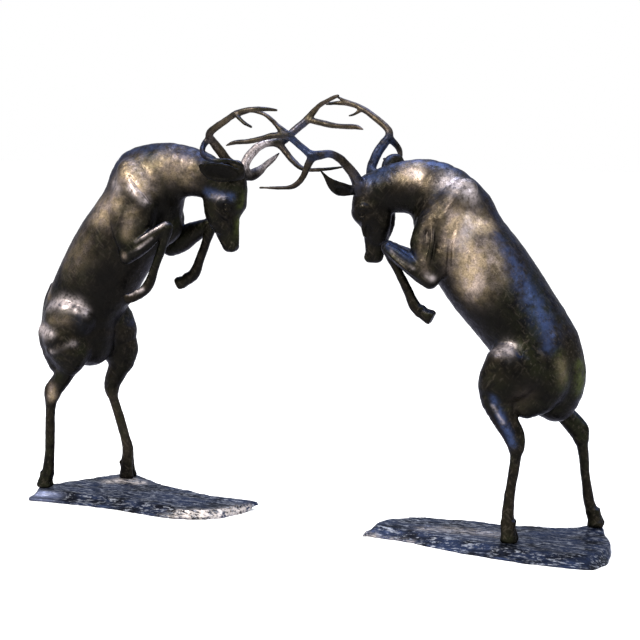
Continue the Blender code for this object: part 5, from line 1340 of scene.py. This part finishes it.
# Painted light and shade on the left stag: sunlit patches and pale glints as painted highlights,
# sky-coloured and greenish painted reflections, and near-black painted shade.
LEFT_DABS = [
    dab(Tone.TAN, (0.37, -0.15, 1.63, 0.075), (0.43, -0.15, 1.59, 0.06)),
    dab(Tone.TAN, (0.235, -0.155, 1.45, 0.075), (0.19, -0.145, 1.43, 0.07), (0.29, -0.165, 1.49, 0.05),
        strength=0.8),
    dab(Tone.TAN, (0.55, -0.085, 1.67, 0.07), (0.64, -0.085, 1.64, 0.06), strength=0.42),
    dab(Tone.TAN, (0.4, -0.2, 1.44, 0.04), (0.37, -0.2, 1.34, 0.03), strength=0.3),
    dab(Tone.TAN, (0.09, -0.15, 1.27, 0.08), (0.02, -0.146, 1.18, 0.07), strength=0.25),
    dab(Tone.TAN, (-0.135, -0.09, 1.0, 0.04), (-0.15, -0.07, 1.05, 0.03), strength=0.5),
    dab(Tone.TAN, (-0.1, -0.165, 0.53, 0.025), (-0.1, -0.16, 0.48, 0.022), strength=0.7),
    dab(Tone.TAN, (0.355, -0.205, 1.23, 0.012), strength=0.8),
    dab(Tone.PAINTED_GLINT, (0.27, -0.1, 1.58, 0.03), (0.31, -0.15, 1.55, 0.03), strength=0.6),
    dab(Tone.PAINTED_GLINT, (0.385, -0.185, 1.565, 0.02), (0.455, -0.175, 1.5, 0.018), strength=0.85),
    dab(Tone.PAINTED_GLINT, (-0.085, -0.15, 0.95, 0.03), (-0.02, -0.175, 0.975, 0.036),
        (0.06, -0.17, 0.965, 0.032), (0.1, -0.16, 0.935, 0.022), strength=0.75),
    dab(Tone.PAINTED_GLINT, (-0.17, -0.14, 0.835, 0.024), (-0.11, -0.185, 0.822, 0.03),
        (-0.06, -0.21, 0.82, 0.02), strength=0.95),
    dab(Tone.PAINTED_GLINT, (-0.06, -0.21, 0.73, 0.012), (0.05, -0.195, 0.775, 0.014), strength=0.5),
    dab(Tone.SOOT, (0.55, -0.09, 1.56, 0.04), (0.65, -0.08, 1.55, 0.035), (0.72, -0.08, 1.6, 0.04),
        strength=0.75),
    dab(Tone.SOOT, (0.12, -0.16, 1.33, 0.04), (0.16, -0.16, 1.24, 0.04), strength=0.6),
    dab(Tone.SOOT, (-0.05, -0.16, 1.05, 0.05), (0.08, -0.17, 1.03, 0.05), strength=0.6),
    dab(Tone.PAINTED_GLINT, (0.42, -0.203, 1.3, 0.006), (0.46, -0.2, 1.325, 0.006), (0.51, -0.18, 1.36, 0.006),
        (0.56, -0.155, 1.39, 0.009), strength=0.9),
    dab(Tone.PAINTED_GLINT, (0.38, -0.203, 1.243, 0.005), (0.44, -0.212, 1.273, 0.005),
        (0.5, -0.192, 1.32, 0.005), strength=0.7),
    dab(Tone.SOOT, (0.4, -0.19, 1.225, 0.016), (0.47, -0.18, 1.27, 0.016), strength=0.8),
    dab(Tone.SOOT, (0.39, -0.19, 1.25, 0.03), (0.47, -0.185, 1.31, 0.03), (0.54, -0.15, 1.36, 0.02),
        strength=0.8),
    dab(Tone.SOOT, (0.46, -0.15, 1.56, 0.022), (0.475, -0.16, 1.5, 0.026), (0.44, -0.19, 1.44, 0.022),
        strength=0.95),
    dab(Tone.TAN, (-0.06, -0.19, 0.89, 0.035), (0.02, -0.2, 0.9, 0.03), strength=0.3),
    # A lighter tone along the antlers, partly painted highlight.
    dab(Tone.TAN, (0.886, -0.045, 1.66, 0.03), (0.83, -0.1, 1.73, 0.035), (0.81, -0.17, 1.8, 0.035),
        (0.9, -0.23, 1.88, 0.03), (1.05, -0.265, 1.935, 0.03), (1.15, -0.2, 1.935, 0.02),
        strength=0.15),
    dab(Tone.TAN, (1.1, 0.2, 1.84, 0.03), (1.18, 0.2, 1.91, 0.03), (1.33, 0.16, 2.0, 0.02),
        strength=0.16),
    dab(Tone.TAN, (1.15, 0.2, 1.885, 0.02), (1.3, 0.16, 1.858, 0.02), (1.48, 0.07, 1.845, 0.02),
        strength=0.2),
    dab(Tone.TAN, (1.01, 0.17, 1.765, 0.02), (1.1, 0.15, 1.69, 0.02), (1.25, 0.085, 1.648, 0.02),
        strength=0.12),
    dab(Tone.TAN, (0.08, 0.14, 0.45, 0.04), (0.165, 0.14, 0.13, 0.04), strength=0.06),
    dab(Tone.PAINTED_GLINT, (0.42, -0.15, 1.06, 0.009), (0.385, -0.145, 1.05, 0.01), (0.35, -0.14, 1.035, 0.009),
        strength=0.9),
    dab(Tone.PAINTED_GLINT, (0.89, 0.05, 1.66, 0.03), (0.93, 0.1, 1.75, 0.03), (0.97, 0.13, 1.78, 0.02),
        strength=0.8),
    dab(Tone.PAINTED_GLINT, (0.94, 0.11, 1.64, 0.02), (1.0, 0.17, 1.7, 0.015), strength=0.45),
    dab(Tone.BLUE, (0.25, -0.03, 1.68, 0.06), (0.35, -0.045, 1.73, 0.06), (0.46, -0.04, 1.745, 0.05),
        (0.59, -0.05, 1.73, 0.04), (0.7, -0.05, 1.7, 0.03), strength=0.75),
    dab(Tone.BLUE, (0.24, -0.03, 1.64, 0.045), (0.11, -0.03, 1.45, 0.05), (-0.03, -0.03, 1.22, 0.045),
        (-0.14, -0.03, 1.05, 0.035), strength=0.6),
    dab(Tone.BLUE, (0.74, -0.065, 1.54, 0.02), (0.8, -0.07, 1.525, 0.022), (0.87, -0.07, 1.52, 0.018),
        strength=0.8),
    dab(Tone.PAINTED_GLINT, (0.78, -0.068, 1.52, 0.014), (0.83, -0.075, 1.515, 0.012), strength=0.2),
    dab(Tone.BLUE, (0.07, -0.16, 0.91, 0.03), (0.09, -0.14, 0.86, 0.025), strength=0.8),
    dab(Tone.BLUE, (0.215, 0.115, 0.85, 0.03), strength=0.6),
    dab(Tone.BLUE, (0.795, -0.2, 1.77, 0.025), (0.82, -0.26, 1.735, 0.025), (0.87, -0.3, 1.715, 0.02),
        strength=0.5),
    dab(Tone.BLUE, (1.05, 0.18, 1.79, 0.03), (1.13, 0.2, 1.86, 0.03), strength=0.6),
    dab(Tone.GREEN, (0.875, 0.0, 1.43, 0.02), (0.875, -0.01, 1.33, 0.018), strength=0.9),
    dab(Tone.GREEN, (0.905, -0.01, 1.54, 0.02), (0.895, -0.03, 1.48, 0.02), strength=0.9),
    dab(Tone.SOOT, (0.47, -0.12, 1.56, 0.06), (0.53, -0.1, 1.5, 0.06), (0.49, -0.12, 1.42, 0.05),
        strength=0.9),
    dab(Tone.SOOT, (0.23, -0.16, 1.15, 0.06), (0.2, -0.14, 1.04, 0.08), (0.12, -0.12, 0.85, 0.08),
        (0.12, -0.05, 0.75, 0.06), strength=0.85),
    dab(Tone.SOOT, (0.81, -0.07, 1.47, 0.022), (0.86, -0.06, 1.46, 0.02), strength=0.9),
    dab(Tone.SOOT, (0.8, -0.14, 1.65, 0.06), (0.87, -0.1, 1.63, 0.05), strength=0.9),
]
# Painted light and shade on the right stag: sunlit patches and pale glints as painted highlights,
# sky-coloured and greenish painted reflections, and near-black painted shade.
RIGHT_DABS = [
    dab(Tone.TAN, (0.46, -0.18, 1.44, 0.06), (0.4, -0.15, 1.43, 0.07), (0.34, -0.12, 1.43, 0.05)),
    dab(Tone.TAN, (0.43, -0.19, 1.36, 0.07), (0.37, -0.18, 1.28, 0.09), (0.36, -0.18, 1.18, 0.07)),
    dab(Tone.TAN, (0.3, -0.165, 1.27, 0.05), (0.27, -0.165, 1.2, 0.04), strength=0.6),
    dab(Tone.TAN, (0.69, -0.08, 1.655, 0.055), (0.64, -0.085, 1.63, 0.04), strength=0.7),
    dab(Tone.TAN, (0.53, -0.17, 1.5, 0.05), (0.56, -0.19, 1.4, 0.035), (0.6, -0.2, 1.31, 0.03),
        (0.59, -0.205, 1.23, 0.03), strength=0.16),
    dab(Tone.TAN, (-0.03, -0.15, 0.83, 0.025), (-0.035, -0.15, 0.75, 0.022), strength=0.2),
    dab(Tone.PAINTED_GLINT, (0.52, -0.1, 1.63, 0.04), (0.45, -0.12, 1.6, 0.05), (0.4, -0.12, 1.56, 0.04),
        strength=0.75),
    dab(Tone.PAINTED_GLINT, (0.67, -0.08, 1.66, 0.03), strength=0.5),
    dab(Tone.PAINTED_GLINT, (0.4, -0.165, 1.45, 0.035), (0.42, -0.185, 1.35, 0.03), strength=0.35),
    dab(Tone.PAINTED_GLINT, (0.25, -0.19, 0.875, 0.024), (0.21, -0.2, 0.885, 0.03), (0.19, -0.205, 0.865, 0.018),
        strength=0.95),
    # A lighter tone along the antlers, partly painted highlight.
    dab(Tone.TAN, (0.93, -0.045, 1.57, 0.03), (0.98, -0.11, 1.68, 0.03), (1.06, -0.185, 1.735, 0.025),
        strength=0.1),
    dab(Tone.TAN, (1.14, -0.2, 1.7, 0.02), (1.18, -0.2, 1.62, 0.02), (1.35, -0.2, 1.58, 0.02),
        strength=0.1),
    dab(Tone.TAN, (1.25, -0.2, 1.82, 0.02), (1.39, -0.2, 1.8, 0.02), (1.54, -0.2, 1.77, 0.02),
        strength=0.14),
    dab(Tone.TAN, (1.28, -0.19, 1.845, 0.02), (1.37, -0.17, 1.91, 0.02), (1.48, -0.14, 1.927, 0.02),
        strength=0.13),
    dab(Tone.TAN, (0.88, 0.19, 1.84, 0.03), (0.98, 0.215, 1.91, 0.03), (1.12, 0.235, 1.965, 0.03),
        strength=0.18),
    dab(Tone.TAN, (0.84, 0.24, 1.74, 0.03), (0.87, 0.265, 1.69, 0.02), strength=0.14),
    dab(Tone.TAN, (0.16, -0.22, 0.62, 0.04), (0.12, -0.2, 0.7, 0.04), strength=0.05),
    dab(Tone.PAINTED_GLINT, (0.555, -0.2, 1.19, 0.014), (0.575, -0.2, 1.2, 0.012), strength=0.5),
    dab(Tone.BLUE, (0.93, -0.05, 1.63, 0.05), (0.84, -0.04, 1.675, 0.05), (0.7, -0.03, 1.7, 0.045),
        (0.56, -0.03, 1.695, 0.05), strength=0.95),
    dab(Tone.BLUE, (0.29, -0.1, 1.38, 0.03), (0.215, -0.115, 1.28, 0.045), (0.15, -0.125, 1.17, 0.05),
        (0.08, -0.13, 1.06, 0.055), (0.025, -0.155, 0.96, 0.045), (0.03, -0.17, 0.9, 0.03),
        strength=0.75),
    dab(Tone.BLUE, (0.45, -0.03, 1.6, 0.04), (0.3, -0.02, 1.45, 0.04), strength=0.5),
    dab(Tone.BLUE, (0.26, -0.225, 0.67, 0.016), (0.235, -0.215, 0.6, 0.018), (0.2, -0.2, 0.52, 0.018),
        (0.17, -0.19, 0.45, 0.018), strength=1.0),
    dab(Tone.PAINTED_GLINT, (0.26, -0.222, 0.63, 0.007), (0.215, -0.205, 0.55, 0.007), strength=0.45),
    dab(Tone.BLUE, (0.77, -0.155, 1.325, 0.02), (0.71, -0.18, 1.31, 0.022), (0.65, -0.2, 1.28, 0.02),
        strength=0.95),
    dab(Tone.PAINTED_GLINT, (0.75, -0.175, 1.305, 0.008), (0.64, -0.205, 1.23, 0.008), strength=0.45),
    dab(Tone.BLUE, (0.93, 0.06, 1.62, 0.04), (0.92, 0.12, 1.7, 0.04), (0.88, 0.17, 1.79, 0.035),
        strength=0.85),
    dab(Tone.BLUE, (1.06, -0.19, 1.74, 0.03), (1.14, -0.2, 1.745, 0.035), (1.24, -0.2, 1.82, 0.03),
        strength=0.7),
    dab(Tone.BLUE, (0.25, -0.14, 0.87, 0.03), (0.18, -0.2, 0.85, 0.03), strength=0.5),
    dab(Tone.GREEN, (-0.1, -0.05, 0.8, 0.04), (-0.11, -0.04, 0.71, 0.04), strength=1.0),
    dab(Tone.GREEN, (-0.02, -0.15, 0.86, 0.03), (-0.045, -0.145, 0.74, 0.035), strength=0.4),
    dab(Tone.SOOT, (0.51, -0.19, 1.36, 0.03), (0.51, -0.19, 1.26, 0.04), (0.48, -0.18, 1.2, 0.03),
        strength=0.9),
    dab(Tone.SOOT, (0.6, -0.1, 1.58, 0.04), (0.72, -0.09, 1.55, 0.04), (0.8, -0.09, 1.54, 0.04),
        strength=0.7),
    dab(Tone.SOOT, (0.38, -0.08, 1.515, 0.010), (0.424, -0.153, 1.483, 0.012),
        (0.459, -0.177, 1.439, 0.014), (0.475, -0.199, 1.351, 0.018), (0.487, -0.2, 1.265, 0.022),
        strength=0.95),
    dab(Tone.SOOT, (0.42, -0.16, 1.1, 0.06), (0.3, -0.16, 1.02, 0.08), (0.2, -0.17, 0.97, 0.06),
        strength=0.85),
    dab(Tone.SOOT, (0.17, -0.22, 0.8, 0.05), (0.13, -0.21, 0.7, 0.07), (0.05, -0.19, 0.7, 0.06),
        strength=0.8),
    dab(Tone.SOOT, (0.8, -0.06, 1.5, 0.06), (0.88, -0.06, 1.45, 0.06), (0.87, -0.04, 1.33, 0.05),
        strength=0.75),
]
# Painted light on the bases: a painted sky reflection on the left base's sloped end, and painted pale
# highlights.
LEFT_BASE_DABS = [
    dab(Tone.BLUE, (-1.44, -0.2, 0.03, 0.05), (-1.36, -0.21, 0.03, 0.05), (-1.3, -0.2, 0.04, 0.04)),
    dab(Tone.PAINTED_GLINT, (-1.14, 0.07, 0.05, 0.03), (-1.06, 0.12, 0.05, 0.045), (-0.97, 0.11, 0.05, 0.035)),
    dab(Tone.PAINTED_GLINT, (-0.7, -0.26, 0.035, 0.014), (-0.63, -0.258, 0.035, 0.022),
        (-0.54, -0.245, 0.034, 0.03), (-0.42, -0.2, 0.03, 0.032), (-0.34, -0.11, 0.025, 0.026),
        (-0.295, -0.03, 0.02, 0.016)),
    dab(Tone.PAINTED_GLINT, (-1.24, -0.22, 0.048, 0.008), (-0.75, -0.245, 0.048, 0.008), strength=0.5),
]
RIGHT_BASE_DABS = [
    dab(Tone.PAINTED_GLINT, (0.36, -0.2, 0.02, 0.02), (0.42, -0.205, 0.02, 0.015), (0.6, -0.215, 0.02, 0.012),
        strength=0.8),
    dab(Tone.PAINTED_GLINT, (0.62, -0.12, 0.05, 0.03), (0.75, -0.09, 0.05, 0.04), (0.95, -0.09, 0.05, 0.04),
        strength=0.4),
]
LEFT_EDGES = (
    (-1.4425, -0.2132, -0.1132), (-1.4305, -0.2302, -0.0832), (-1.4005, -0.2302, -0.0582),
    (-1.3305, -0.2232, 0.0268), (-1.2585, -0.2202, 0.1068), (-1.2055, -0.2192, 0.1718),
    (-1.1485, -0.2182, 0.2268), (-1.0755, -0.2182, 0.2418), (-1.0105, -0.2192, 0.2168),
    (-0.9405, -0.2232, 0.1798), (-0.8255, -0.2382, 0.1228), (-0.6585, -0.2582, 0.0708),
    (-0.5245, -0.2402, 0.0368), (-0.4115, -0.1912, 0.0338), (-0.3395, -0.1082, 0.0348),
    (-0.2995, -0.0352, 0.0308), (-0.2755, -0.0082, 0.0218), (-0.2505, -0.0112, 0.0048),
)
RIGHT_EDGES = (
    (1.4895, -0.1832, -0.0732), (1.4795, -0.2232, -0.0232), (1.4445, -0.2832, 0.0968),
    (1.4195, -0.2982, 0.1768), (1.3795, -0.3082, 0.2218), (1.3295, -0.3132, 0.1668),
    (1.2395, -0.3132, 0.1218), (1.0895, -0.3082, 0.0918), (0.9525, -0.2932, 0.0668),
    (0.8045, -0.2682, 0.0768), (0.6775, -0.2372, 0.0668), (0.5855, -0.2132, 0.0518),
    (0.4855, -0.2032, 0.0168), (0.4195, -0.2012, -0.0382), (0.3795, -0.1952, -0.1232),
    (0.3495, -0.2032, -0.1932),
)
LEFT_SOLES = ((-1.4015, -0.1153, 0, 0.04), (-1.0725, 0.1747, 0, 0.04))
RIGHT_SOLES = ((1.0415, -0.1763, 0, 0.04), (1.3855, 0.1747, 0, 0.04))
GROUND = 0.0503
STANDS = {Side.LEFT: (-1.2355, 0.0347, GROUND), Side.RIGHT: (1.2145, 0.0347, GROUND)}


def main() -> None:
    """Builds the bases and the stags in order, then the studio."""
    logging.basicConfig(level=logging.INFO, format="%(message)s")
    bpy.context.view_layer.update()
    cell = FINE_CELL
    bronze, rock = StagBronze().material(), RockBronze().material()
    bases = (
        RockBase(Side.LEFT, LEFT_EDGES, LEFT_SOLES, lip=0.012, steep=(-0.64, -0.2), undercut=0.03,
                 dabs=LEFT_BASE_DABS),
        RockBase(Side.RIGHT, RIGHT_EDGES, RIGHT_SOLES, dabs=RIGHT_BASE_DABS),
    )
    for base in bases:
        made = base.build()
        base.dress(made, rock)
        log.info("%s: %d faces", made.name, len(made.data.polygons))
    stags = (
        Stag(Side.LEFT, left_strokes(), LEFT_DABS, STANDS[Side.LEFT], cell),
        Stag(Side.RIGHT, right_strokes(), RIGHT_DABS, STANDS[Side.RIGHT], cell),
    )
    for stag in stags:
        made = stag.build()
        stag.dress(made, bronze)
        log.info("%s: %d faces", made.name, len(made.data.polygons))
    Studio().build()


if __name__ == "__main__":
    main()
